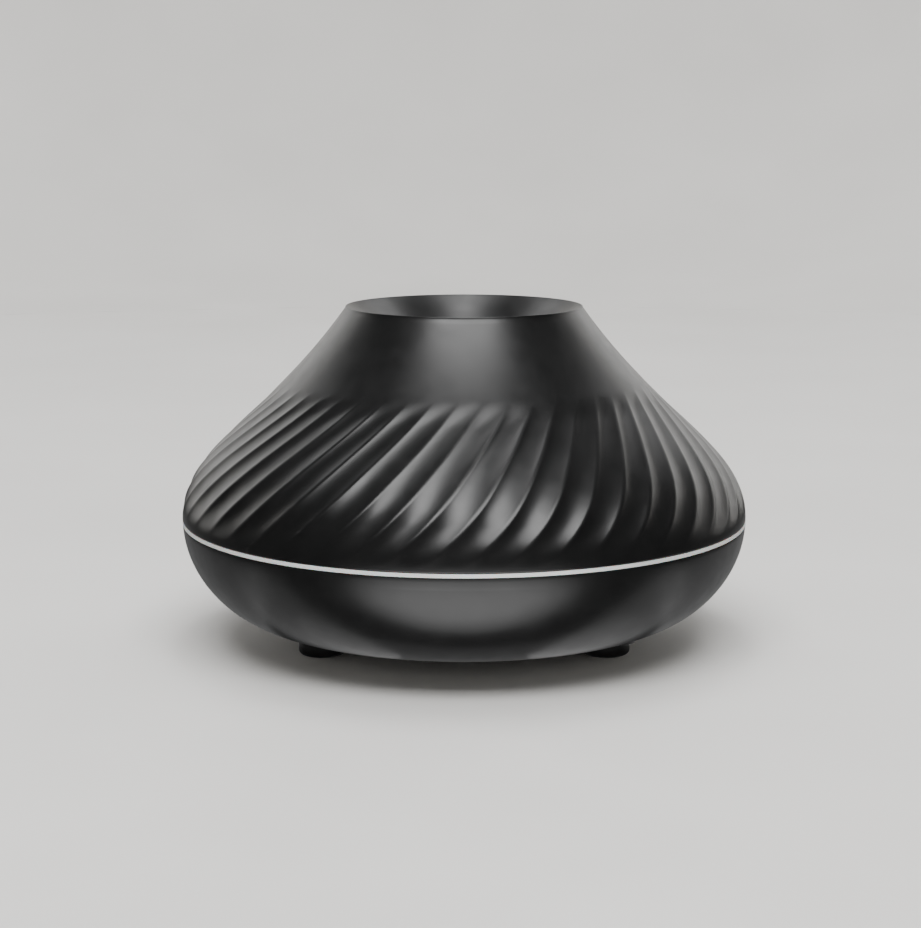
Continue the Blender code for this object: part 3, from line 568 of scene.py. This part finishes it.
def foam():
    """Open cells, with painted shade that makes them darker where they are deep."""
    m = Nodes("foam")
    cells = m.tree.nodes.new("ShaderNodeTexVoronoi")
    cells.inputs["Scale"].default_value = 1 / (0.5 * MM)
    m.tree.links.new(m.place, cells.inputs["Vector"])
    # Painted shade: the colour darkens towards the deep middles of the cells.
    m.colour(m.ramp(cells.outputs["Distance"], 0.1, 0.7, (0.05, 0.05, 0.055), (0.14, 0.14, 0.15)))
    m.roughness(m.patches(1.0, 0.85, 0.97))
    m.bump(cells.outputs["Distance"], 0.6, 0.2)
    return m.material


def lead_insulation():
    m = Nodes("lead_red")
    m.set(IOR=1.5)
    m.colour(m.patches(3.0, (0.32, 0.02, 0.015), (0.45, 0.04, 0.03)))
    m.roughness(m.patches(1.5, 0.35, 0.5))
    m.bump(m.noise(0.4), 0.1, 0.02)
    return m.material


def floor_paint():
    m = Nodes("floor_paint")
    m.colour(m.patches(120.0, (0.70, 0.69, 0.67), (0.74, 0.73, 0.71), detail=2.0))
    m.roughness(m.patches(30.0, 0.55, 0.65))
    return m.material


MATERIALS = {
    "satin_black": satin_black(),
    "inner_plastic": inner_plastic(),
    "component_black": component_plastic(),
    "frosted_ring": frosted_ring(),
    "rubber_feet": rubber(),
    "silicone": silicone(),
    "screw_steel": zinc_steel(),
    "disc_brass": nickel_disc(),
    "copper_winding": copper(),
    "board_green": circuit_board(),
    "led_lens": led_lens(),
    "foam_grey": foam(),
    "lead_red": lead_insulation(),
    "floor": floor_paint(),
}


def piece(obj, body, slot, *nodes):
    """Gives a finished piece its slot's material and its body, and hides what it stands for."""
    obj.data.materials.clear()
    obj.data.materials.append(MATERIALS[slot])
    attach(obj, body)
    if nodes:
        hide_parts(*nodes)


# ---- lid -----------------------------------------------------------------------------------


def flute_bearings(heights):
    """Bearing of one crest line at each height, summed from its lean down the slope."""
    steps = np.linspace(FLUTE_TOE_Z, FLUTE_HEAD_Z, 200)
    radii = np.array([radius_at(LID_CURVE, z) for z in steps])
    middle_z, middle_r = (steps[1:] + steps[:-1]) / 2, (radii[1:] + radii[:-1]) / 2
    run = np.hypot(np.diff(steps), np.diff(radii))
    flare = np.clip((FLUTE_FLARE_Z - middle_z) / (FLUTE_FLARE_Z - FLUTE_TOE_Z), 0, 1)
    lean = np.radians(FLUTE_LEAN + (TOE_LEAN - FLUTE_LEAN) * flare)
    turn = np.concatenate([[0.0], np.cumsum(np.degrees(np.tan(lean) * run / middle_r))])
    start = CREST_ANGLE - np.interp(CREST_Z, steps, turn)
    return start + np.interp(heights, steps, turn)


def smooth_step(share):
    """From 0 to 1, level at both ends."""
    share = min(max(share, 0.0), 1.0)
    return share * share * (3 - 2 * share)


def valley_profile(shares):
    """The depth between two crests, from 0 to about 1: a parabola with its crests rounded."""
    reach = np.minimum(shares, 1 - shares)

    def area(distance):
        size = np.abs(distance)
        return np.sign(distance) * (2 * size**2 - 4 / 3 * size**3)

    return (area(reach + CREST_ROUNDING) - area(reach - CREST_ROUNDING)) / (2 * CREST_ROUNDING)


def flute_depth(radius, height):
    """Full depth of the flutes where the lid has this radius and height."""
    toe = smooth_step((height - FLUTE_TOE_Z) / TOE_RISE)
    head = smooth_step((FLUTE_HEAD_Z - height) / HEAD_RISE)
    return FLUTE_DEPTH * math.tau * radius / FLUTES * toe * head


def lid_rows():
    """(radius, height, whether fluted) round the closed section of the lid. The rows lie closer
    where the flutes start and end."""
    outer = spread(LID_FOOT_Z + 0.2, 37.9, 4)[:-1]
    outer += spread(37.9, 52.0, 31)[:-1] + spread(52.0, 69.0, 22)[:-1]
    outer += spread(69.0, 79.0, 18)[:-1] + spread(79.0, RIM_Z, 16)
    outside = [(radius_at(LID_CURVE, z), z, 1.0) for z in outer]
    inside = []
    for height in spread(93.0, 42.0, 22):
        radius, inner_z = beside(LID_CURVE, share_at_height(LID_CURVE, height), WALL)
        inside.append((radius, inner_z, 0.0))
    lip = [(radius, height, 0.0) for radius, height in LID_RIM + LID_LEDGE]
    foot = [(BELLY_R - WALL, LID_FOOT_Z + 0.4, 0.0), (BELLY_R - WALL + 0.4, LID_FOOT_Z, 0.0)]
    foot += [(BELLY_R - 0.2, LID_FOOT_Z, 0.0), (BELLY_R - 0.05, LID_FOOT_Z + 0.05, 0.0)]
    return outside + lip + inside + foot


def lid_shell():
    """The fluted cover, its columns of vertices leaning with the crests."""
    pitch = 360.0 / FLUTES
    near_crest = [0.018, 0.036, 0.054, 0.074, 0.1, 0.14]
    before_next = [1 - share for share in reversed(near_crest)]
    shares = np.array([0.0, *near_crest, *spread(0.2, 0.8, 8), *before_next])
    across = (np.arange(FLUTES)[:, None] + shares[None, :]) * pitch
    rows = lid_rows()
    starts = flute_bearings(np.array([row[1] for row in rows]))
    shape = Rings()
    for (radius, height, fluted), start in zip(rows, starts):
        depth = fluted * flute_depth(radius, height) * valley_profile(shares)
        radii = np.tile(radius - depth, FLUTES)
        angles = np.radians(start + across.ravel())
        xs, ys = radii * np.cos(angles), radii * np.sin(angles)
        shape.add(zip(xs.tolist(), ys.tolist(), [height] * len(xs)))
    shell = solid("lid_shell", shape.verts, bridged(shape.rings, True), sharp=60.0)
    piece(shell, "lid", "satin_black", "top_cover")


def outlet_crater():
    """The crater that sits inside the lid's rim, its throat and the bosses under it."""
    lip = [(34.0, 97.42), (34.055, 98.28), (34.045, 98.297)]
    crater = [bezier(CRATER_CURVE, t) for t in spread(0.0, 0.93, 30)]
    mouth = [(8.9, 83.3), (8.45, 83.0), (8.2, 82.4)]
    throat = rounded([(8.2, 82.0), (8.2, 77.0), (10.0, 77.0), (10.0, 81.9)], (0, 0.5, 0.5, 0))
    under = [beside(CRATER_CURVE, t, CRATER_WALL) for t in spread(0.9, 0.16, 18)]
    skirt = [(30.4, 94.0), (30.4, 93.2), (30.7, 93.0), (31.7, 93.0), (32.0, 93.3), (32.0, 96.32)]
    crater = lathe("outlet_crater", lip + crater + mouth + throat + under + skirt)
    bosses = posts("boss", 2.4, thirds(CHIMNEY_SCREW_R), 81.2, 84.1)
    piece(joined(crater, *bosses), "lid", "satin_black", "mist_funnel")


def chimney_tube():
    """The flared tube under the crater, with the holes of its three screws."""
    outline = [(10.4, 80.9), (19.0, 80.9), (19.0, 79.4), (12.0, 79.4), (16.6, 55.0), (15.0, 55.0)]
    tube = lathe("chimney_tube", rounded(outline, (0.4, 0.6, 0.6, 1.2, 0.7, 0.7), 6), 160)
    holes = posts("hole", 1.4, thirds(CHIMNEY_SCREW_R), 78.6, 82.0)
    piece(carved(tube, *holes), "lid", "inner_plastic", "mist_chimney")


def splash_baffle():
    """A drip dome on three blade-shaped arms inside a clip ring with a rounded edge."""
    ring = rounded([(17.0, 52.4), (18.5, 52.4), (18.5, 57.6), (17.0, 57.6)], 0.5)
    dome = [(0.0, 54.6), (4.0, 54.3), (8.0, 53.3), (10.6, 52.2), (11.0, 51.7), (10.8, 51.0)]
    dome += [(10.2, 51.0), (7.6, 52.1), (4.0, 53.0), (0.0, 53.3)]
    baffle = lathe("splash_baffle", ring, 160)
    tools = [lathe("dome", dome, 120)]
    for bearing in THIRDS:
        arm = prism("arm", [(8.5, -1.6), (17.8, -0.9), (17.8, 0.9), (8.5, 1.6)], 52.95, 54.1)
        tools.append(turned(arm, bearing))
    piece(joined(baffle, *tools), "lid", "inner_plastic", "splash_guard")


# ---- fasteners -----------------------------------------------------------------------------


def pan_screw(name, node, body):
    """A domed screw with a cross recess and a threaded shank, in the place of a CAD screw,
    whose head has few sides and so is a little narrower across one way than the other."""
    (x0, y0, z0), (x1, y1, z1) = low(node), high(node)
    head_r = min((y1 - y0) / 2 / math.cos(math.pi / 8), (x1 - x0) / 2)
    centre = ((x0 + x1) / 2, (y0 + y1) / 2)
    length = z1 - z0
    head = min(1.7, length * 0.28)
    shank_r = head_r * 0.42
    outline = [(0.0, 0.0), (head_r * 0.35, 0.03), (head_r * 0.7, 0.16), (head_r * 0.92, 0.36)]
    outline += [(head_r, 0.6), (head_r, head - 0.1), (head_r - 0.1, head), (shank_r, head)]
    turns = max(3, int((length - head) / THREAD_PITCH))
    for turn in range(turns):
        start = head + 0.3 + (length - head - 1.0) * turn / turns
        outline += [(shank_r, start), (shank_r * 0.8, start + 0.3)]
    outline += [(shank_r * 0.8, length - 0.7), (0.0, length)]
    screw = lathe(name, outline, 48, sharp=30.0)
    arms = []
    for bearing in (20.0, 110.0):
        half, width = head_r * 0.58, head_r * 0.13
        arm = prism("arm", box_outline(-half, half, -width, width), -0.5, head * 0.62)
        arms.append(turned(arm, bearing))
    screw = carved(screw, joined(*arms))
    upside_down = node.startswith("fan_screw")
    for vertex in screw.data.vertices:
        height = length * MM - vertex.co.z if upside_down else vertex.co.z
        vertex.co.z = height + z0 * MM
        vertex.co.x += centre[0] * MM
        vertex.co.y += centre[1] * MM
    if upside_down:
        screw.data.flip_normals()
    piece(screw, body, "screw_steel", node)


def screws():
    groups = [("chimney_screw", "lid", 3), ("case_screw", "base", 3), ("cover_screw", "base", 3)]
    groups += [("retainer_screw", "base", 3), ("fan_screw", "base", 2)]
    for name, body, count in groups:
        for number in range(1, count + 1):
            pan_screw(f"{name}_head_{number}", f"{name}_{number}", body)


# ---- base shells ---------------------------------------------------------------------------


def bowl_shell():
    """The thin-walled bowl: its outer curve, its seats, its recesses and its back openings."""
    first = share_at_height(BOWL_CURVE, BOWL_TOP_Z - 0.15)
    outside = [bezier(BOWL_CURVE, t) for t in spread(first, 1.0, 44)]
    under = [(BASE_FLAT_R + 1.2, BASE_FLAT_Z + 0.28), (BASE_FLAT_R, BASE_FLAT_Z + 0.07)]
    under += [(BASE_FLAT_R - 1.0, BASE_FLAT_Z), (39.2, 3.0), (38.9, 3.3), (38.9, 5.1)]
    ledge = [(36.9, 5.1), (36.6, 5.4), (36.6, 6.8), (36.9, 7.1), (50.0, 7.1)]
    inside = [beside(BOWL_CURVE, t, -WALL) for t in spread(0.93, first, 30)]
    rim = [(80.85, BOWL_TOP_Z - 0.3), (81.15, BOWL_TOP_Z)]
    rim += [(82.9, BOWL_TOP_Z), (83.04, BOWL_TOP_Z - 0.05)]
    bowl = lathe("bowl_shell", outside + under + ledge + inside + rim)
    seats = posts("seat", 7.15, thirds(FOOT_CIRCLE_R, FOOT_THIRDS), -2, 5.0)
    pocket = rod("pocket", 5.3, (0, 62, SOCKET_Z), (0, 90, SOCKET_Z))
    sleeve = rod("sleeve", 6.6, (0, 66, SOCKET_Z), (0, 77.2, SOCKET_Z))
    case_screws = thirds(CASE_SCREW_R, CASE_THIRDS)
    bosses = posts("boss", 4.6, case_screws, 8.5, 23.7)
    holes = []
    for p in case_screws:
        holes.append(post("recess", 3.1, p, 0, 16.2))
        holes.append(post("bore", 1.7, p, 15, 26, HOLE_FACETS))
    for x in (-BUTTON_X, BUTTON_X):
        holes.append(rod("button", 4.7, (x, 70, BUTTON_Z), (x, 90, BUTTON_Z)))
    bowl = joined(bowl, sleeve, *bosses)
    bowl = carved(bowl, pocket, *seats, *holes)
    piece(bowl, "base", "satin_black", "base_bowl")


def glow_ring():
    """The light guide: a visible band, and a leg inside the bowl that takes light up to it."""
    leg_z = low("light_ring")[2]
    outline = [(RING_R, RING_LOW_Z), (RING_R, RING_TOP_Z), (74.0, RING_TOP_Z), (74.0, leg_z)]
    outline += [(75.8, leg_z), (75.8, RING_LOW_Z)]
    ring = lathe("glow_ring", rounded(outline, (0.1, 0.1, 0.3, 0.3, 0.3, 0.2)))
    piece(ring, "base", "frosted_ring", "light_ring")


def service_cover():
    """The round bottom cover: rounded intake slots, screw recesses and a sunk blank plate."""
    outline = [(0.0, 2.6), (38.6, 2.6), (38.6, 4.8), (0.0, 4.8)]
    cover = lathe("service_cover", rounded(outline, (0, 0.5, 0.2, 0)))
    tools = []
    for x in spread(-9.0, 9.0, INTAKE_SLOTS):
        half = math.sqrt(INTAKE_R**2 - x**2)
        slot = box_outline(x - 0.9, x + 0.9, INTAKE_Y - half, INTAKE_Y + half, 0.85)
        tools.append(prism("slot", slot, 1.0, 6.0))
    for p in thirds(COVER_SCREW_R):
        tools.append(post("recess", 2.8, p, 1, 3.9))
        tools.append(post("hole", 1.5, p, 1, 6, HOLE_FACETS))
    tools.append(prism("plate_recess", box_outline(-17, 17, -19, -3, 2.0), 2.0, 2.85))
    piece(carved(cover, *tools), "base", "satin_black", "bottom_cover")


def feet():
    """Rubber feet with a rounded edge and two grip grooves under each."""
    outline = [(0.0, 0.0), (2.4, 0.0), (2.7, 0.35), (3.1, 0.35), (3.4, 0.0), (4.3, 0.0)]
    outline += [(4.6, 0.35), (5.0, 0.35), (5.3, 0.0)]
    flat_r, edge = 5.55, 1.3
    for angle in (math.radians(a) for a in spread(0, 90, 8)):
        outline.append((flat_r + edge * math.sin(angle), edge - edge * math.cos(angle)))
    outline += [(6.85, 4.2), (6.7, 4.7), (0.0, 4.7)]
    for node in ("foot_front_left", "foot_front_right", "foot_rear"):
        (x0, y0, _), (x1, y1, _) = low(node), high(node)
        pad = lathe(f"{node}_pad", outline, 96, ((x0 + x1) / 2, (y0 + y1) / 2))
        piece(pad, "base", "rubber_feet", node)


# ---- water tank ----------------------------------------------------------------------------


def tank_basin():
    """The basin with its rounded rim, deck, air duct and bosses."""
    outline = [(8.4, 20.0), (44.5, 21.4), *TANK_WALL, (53.6, 49.5)]
    outline += [(53.6, 40.35), (79.6, 40.35), (79.6, 38.35), (52.6, 38.35), (50.8, 24.2)]
    outline += [(46.5, 19.2), (14.6, 18.0), (14.6, 15.0), (11.3, 15.0), (11.3, 18.5)]
    outline += [(8.4, 18.5)]
    radii = (0.7, 3, 4.5, 0.9, 0.9, 1.2, 0.7, 0.4, 0.8, 3, 2, 0.6, 0.4, 0.4, 0.1, 0.3)
    tank = lathe("tank_basin", rounded(outline, radii, 8))
    duct = rounded([(0, 19.3), (9, 19.3), (9, 46.5), (0, 46.5)], 0.6)
    case_screws, retainer_screws = thirds(CASE_SCREW_R, CASE_THIRDS), thirds(RETAINER_SCREW_R)
    bosses = [lathe("duct", duct, 96, DUCT_CENTRE)]
    bosses += posts("boss", 3.5, case_screws, 24, 39.4)
    bosses += posts("boss", 2.6, retainer_screws, 15, 19.3)
    tank = joined(tank, *bosses)
    bore = [(0, 14), (7.2, 14), (7.2, 45.9), (7.8, 46.6), (7.8, 50), (0, 50)]
    holes = [lathe("bore", bore, 96, DUCT_CENTRE)]
    holes += posts("hole", 1.7, case_screws, 22, 36.4, HOLE_FACETS)
    holes += posts("hole", 1.3, retainer_screws, 14, 18.3, HOLE_FACETS)
    piece(carved(tank, *holes), "base", "inner_plastic", "water_tank")


def fill_marks():
    """Raised level bars on the basin's wall, the top one longer than the rest, which thin out
    towards their ends."""
    (low_r, low_z), (high_r, high_z) = TANK_WALL
    for number, (height, half_span) in enumerate(((41.0, 14.0), (35.0, 6.0), (29.0, 6.0)), 1):
        wall = low_r + (height - low_z) * (high_r - low_r) / (high_z - low_z)
        bar = Rings()
        for bearing in spread(FRONT - half_span, FRONT + half_span, 40):
            proud = 0.4 * min(1.0, (half_span - abs(bearing - FRONT)) / 1.2 + 0.05)
            section = ((0.35, -0.5), (-proud, -0.28), (-proud, 0.28), (0.35, 0.5))
            bar.add([tuple(on_circle(wall + out, bearing, height + up)) for out, up in section])
        ends = [tuple(bar.rings[0]), tuple(reversed(bar.rings[-1]))]
        bar = solid(f"fill_mark_{number}", bar.verts, bridged(bar.rings, False) + ends)
        piece(bar, "base", "inner_plastic")


def seals_and_disc():
    """The two silicone seals and the atomiser's plate."""
    start, end = low("tank_seal")[2], high("tank_seal")[2]
    seal = [(76.0, start), (79.0, start), (79.0, end), (76.0, end)]
    piece(lathe("tank_seal_ring", rounded(seal, 0.3)), "base", "silicone", "tank_seal")
    ring = rounded([(7.8, 16.9), (11.0, 16.9), (11.0, 18.2), (7.8, 18.2)], 0.45)
    piece(lathe("atomiser_seal_ring", ring, 128), "base", "silicone", "atomiser_seal")
    disc = [(0.0, 16.35), (4.2, 16.35), (4.5, 16.6), (9.8, 16.6), (10.0, 16.45), (10.0, 16.05)]
    disc += [(9.9, 15.95), (0.0, 15.95)]
    piece(lathe("atomiser_plate", disc, 128), "base", "disc_brass", "atomiser_disc")


# ---- back of the base ----------------------------------------------------------------------


def bowl_surface_y(x, z, proud):
    """How far back a surface lies that stands proud of the bowl's by so much."""
    radius = radius_at(BOWL_CURVE, z) + proud
    return math.sqrt(radius * radius - x * x)


def drop_outline(centre_x, centre_z, size):
    """A water drop, point up."""
    points = []
    for angle in (math.radians(bearing) for bearing in spread(-225.0, 45.0, 24)):
        x = centre_x + size * math.cos(angle)
        points.append((x, centre_z - 0.35 * size + size * math.sin(angle)))
    points.append((centre_x, centre_z + 1.55 * size))
    return points


def sun_outlines(centre_x, centre_z):
    """A small disc and the eight rays round it."""
    shapes = [[on_circle(0.95, bearing) for bearing in spread(0, 345, 24)]]
    for bearing in spread(0, 315, 8):
        ray = box_outline(1.4, 2.1, -0.16, 0.16)
        shapes.append([on_turn(Vector((x, y, 0)), bearing) for x, y in ray])
    return [[(centre_x + p.x, centre_z + p.y) for p in shape] for shape in shapes]


def button_cap(side, x0):
    """A push button whose face follows the bowl, with a drop or a sun sunk into it."""
    z0 = BUTTON_Z
    angles = [math.radians(bearing) for bearing in spread(0, 360, 65)[:-1]]
    face_rows = [(0.0, 0.0), (1.1, 0.0), (2.2, 0.0), (3.2, 0.0), (3.7, 0.02)]
    face_rows += [(4.0, 0.07), (4.2, 0.17), (4.34, 0.33), (BUTTON_R, 0.55)]
    cap = Rings()
    for reach, drop in face_rows:
        points = []
        for angle in angles if reach else [0.0]:
            x, z = x0 + reach * math.cos(angle), z0 + reach * math.sin(angle)
            points.append((x, bowl_surface_y(x, z, BUTTON_PROUD) - drop, z))
        cap.add(points)
    back = low(f"{side}_button")[1]
    neck = back + 1.2
    for reach, y in ((BUTTON_R, neck), (BUTTON_FLANGE_R, neck), (BUTTON_FLANGE_R, back)):
        cap.add([(x0 + reach * math.cos(a), y, z0 + reach * math.sin(a)) for a in angles])
    cap.add([(x0, back, z0)])
    cap = solid(f"{side}_button_cap", cap.verts, bridged(cap.rings, False))
    mark_y = bowl_surface_y(x0, z0, BUTTON_PROUD) - MARK_DEPTH
    outlines = [drop_outline(x0, z0, 1.15)] if side == "mist" else sun_outlines(x0, z0)
    marks = [upright(prism("mark", outline, 0, 4), mark_y) for outline in outlines]
    piece(carved(cap, *marks), f"{side}_button", "satin_black", f"{side}_button")


def power_socket():
    """The socket's housing, with its chamfered mouth, and the pin inside it."""
    outline = box_outline(-4.6, 4.6, SOCKET_Z - 4.9, SOCKET_Z + 4.9, 0.6)
    body = upright(prism("power_socket", outline, 54.0, 65.6), 0.0)
    barrel = [(0, 64), (4.6, 64), (4.6, 69.1), (4.2, 69.5), (0, 69.5)]
    bore = [(0, 59.5), (2.75, 59.5), (2.75, 68.9), (3.3, 69.6), (3.3, 72), (0, 72)]
    body = joined(body, along_y(lathe("barrel", barrel, 96), SOCKET_Z))
    body = carved(body, along_y(lathe("bore", bore, 96), SOCKET_Z))
    piece(body, "base", "component_black", "dc_inlet")
    pin = rounded([(0, 59.8), (1.0, 59.8), (1.0, 68.9), (0, 68.9)], (0, 0.1, 0.5, 0), 8)
    pin = along_y(lathe("socket_pin", pin, 48), SOCKET_Z)
    piece(pin, "base", "screw_steel", "dc_inlet_pin")


# ---- frame nodes that keep their shape ------------------------------------------------------


def dress_frame_nodes():
    """Every node that no piece replaces keeps its own shape and takes its slot's material."""
    for part in frame["record"]["subparts"]:
        for slot in NODES[part["node"]].material_slots:
            slot.link = "OBJECT"
            slot.material = MATERIALS[part["material_slot"]]


# ---- stage ---------------------------------------------------------------------------------


def stage_sheet(name, outline, first_bearing, last_bearing):
    """Part of the studio's floor or wall: an outline swept round the object."""
    bearings = spread(first_bearing, last_bearing, 2 + int((last_bearing - first_bearing) / 4))
    sheet = Rings()
    for reach, height in outline:
        sheet.add([tuple(on_circle(reach, bearing, height)) for bearing in bearings])
    faces = [
        (lower[i], lower[i + 1], upper[i + 1], upper[i])
        for lower, upper in zip(sheet.rings, sheet.rings[1:])
        for i in range(len(bearings) - 1)
    ]
    mesh = bpy.data.meshes.new(name)
    mesh.from_pydata([tuple(c * MM for c in v) for v in sheet.verts], [], faces)
    mesh.shade_smooth()
    mesh.materials.append(MATERIALS["floor"])
    obj = bpy.data.objects.new(name, mesh)
    bpy.context.scene.collection.objects.link(obj)
    return obj


def studio():
    """A round pale floor that runs on into a curved wall, so that no horizon shows. The black
    plastic mirrors only the wall behind the object."""
    floor_r = STUDIO_R - STUDIO_BEND
    wall = [
        (floor_r + STUDIO_BEND * math.sin(a), STUDIO_BEND - STUDIO_BEND * math.cos(a))
        for a in (math.radians(d) for d in spread(0.0, 90.0, 19))
    ]
    wall.append((STUDIO_R, STUDIO_HEIGHT))
    floor = stage_sheet("floor", [(0.1, 0.0), (300.0, 0.0), (floor_r, 0.0)], 0.0, 360.0)
    floor.visible_glossy = False
    stage_sheet("rear_wall", wall, 20.0, 160.0)
    front_wall = stage_sheet("front_wall", wall, 160.0, 380.0)
    front_wall.visible_glossy = False


def camera():
    """A long lens at the photo's angle, a little above the object."""
    data = bpy.data.cameras.new("camera")
    obj = bpy.data.objects.new("camera", data)
    bpy.context.scene.collection.objects.link(obj)
    elevation = math.radians(CAMERA_ELEVATION)
    back = Vector((0, -math.cos(elevation), math.sin(elevation))) * CAMERA_DISTANCE
    obj.location = Vector((0.0, 0.0, CAMERA_AIM_Z)) + back
    obj.rotation_euler = (math.radians(90) - elevation, 0, 0)
    data.sensor_width = SENSOR_WIDTH
    data.lens = LENS
    data.shift_x = LENS_SHIFT
    data.clip_start, data.clip_end = 0.01, 50.0
    bpy.context.scene.camera = obj


def softbox(name, place, aim, width, height, radiance, shape="RECTANGLE"):
    """An area light of a given brightness, whatever its size, which the camera doesn't see."""
    light = bpy.data.lights.new(name, "AREA")
    light.shape = shape
    light.size, light.size_y = width, height
    area = width * height * (math.pi / 4 if shape == "ELLIPSE" else 1.0)
    light.energy = radiance * math.pi * area
    obj = bpy.data.objects.new(name, light)
    obj.location = place
    obj.rotation_euler = (Vector(aim) - Vector(place)).to_track_quat("-Z", "Y").to_euler()
    obj.visible_camera = False
    bpy.context.scene.collection.objects.link(obj)
    return obj


def world():
    """A dim room overhead, which the pale wall hides from the camera."""
    room = bpy.data.worlds.new("studio")
    bpy.context.scene.world = room
    room.use_nodes = True
    background = room.node_tree.nodes["Background"]
    background.inputs["Color"].default_value = (0.95, 0.97, 1.0, 1.0)
    background.inputs["Strength"].default_value = 0.05


def card(name, place, size, radiance):
    """A glowing ellipse that lies just over the floor and faces up."""
    softbox(name, (*place, 0.001), (*place, 1.0), *size, radiance, "ELLIPSE")


def lights():
    """Softboxes for the long soft reflections, low cards for the bowl's, and a plain fill."""
    middle = (0.0, 0.0, 0.06)
    softbox("front_softbox", (0.0, -0.60, 1.05), middle, 1.0, 0.5, 9.0)
    softbox("top_softbox", (0.0, 0.28, 1.15), middle, 0.22, 0.5, 7.0)
    for side, sign, gain in (("left", -1, LEFT_GAIN), ("right", 1, RIGHT_GAIN)):
        softbox(f"{side}_softbox", (sign * 0.80, 1.05, 0.45), middle, 0.9, 0.6, 0.75 * gain)
        high_place = (sign * 0.571, 0.816, 0.936)
        softbox(f"{side}_high_softbox", high_place, middle, 0.66, 0.38, 2.0 * gain)
        card(f"{side}_card", (sign * 0.110, 0.090), (0.17, 0.30), 0.30 * gain)
        card(f"{side}_under_card", (sign * 0.088, -0.054), (0.14, 0.036), 0.42 * gain)
    for name, place, size, radiance in MIDDLE_CARDS:
        card(name, place, size, radiance)
    fill = softbox("fill", (0.0, 0.0, 2.4), middle, 2.6, 2.6, 2.3)
    fill.visible_glossy = False


dress_frame_nodes()
lid_shell()
outlet_crater()
chimney_tube()
splash_baffle()
bowl_shell()
glow_ring()
service_cover()
feet()
tank_basin()
fill_marks()
seals_and_disc()
button_cap("mist", -BUTTON_X)
button_cap("light", BUTTON_X)
power_socket()
screws()
studio()
camera()
world()
lights()
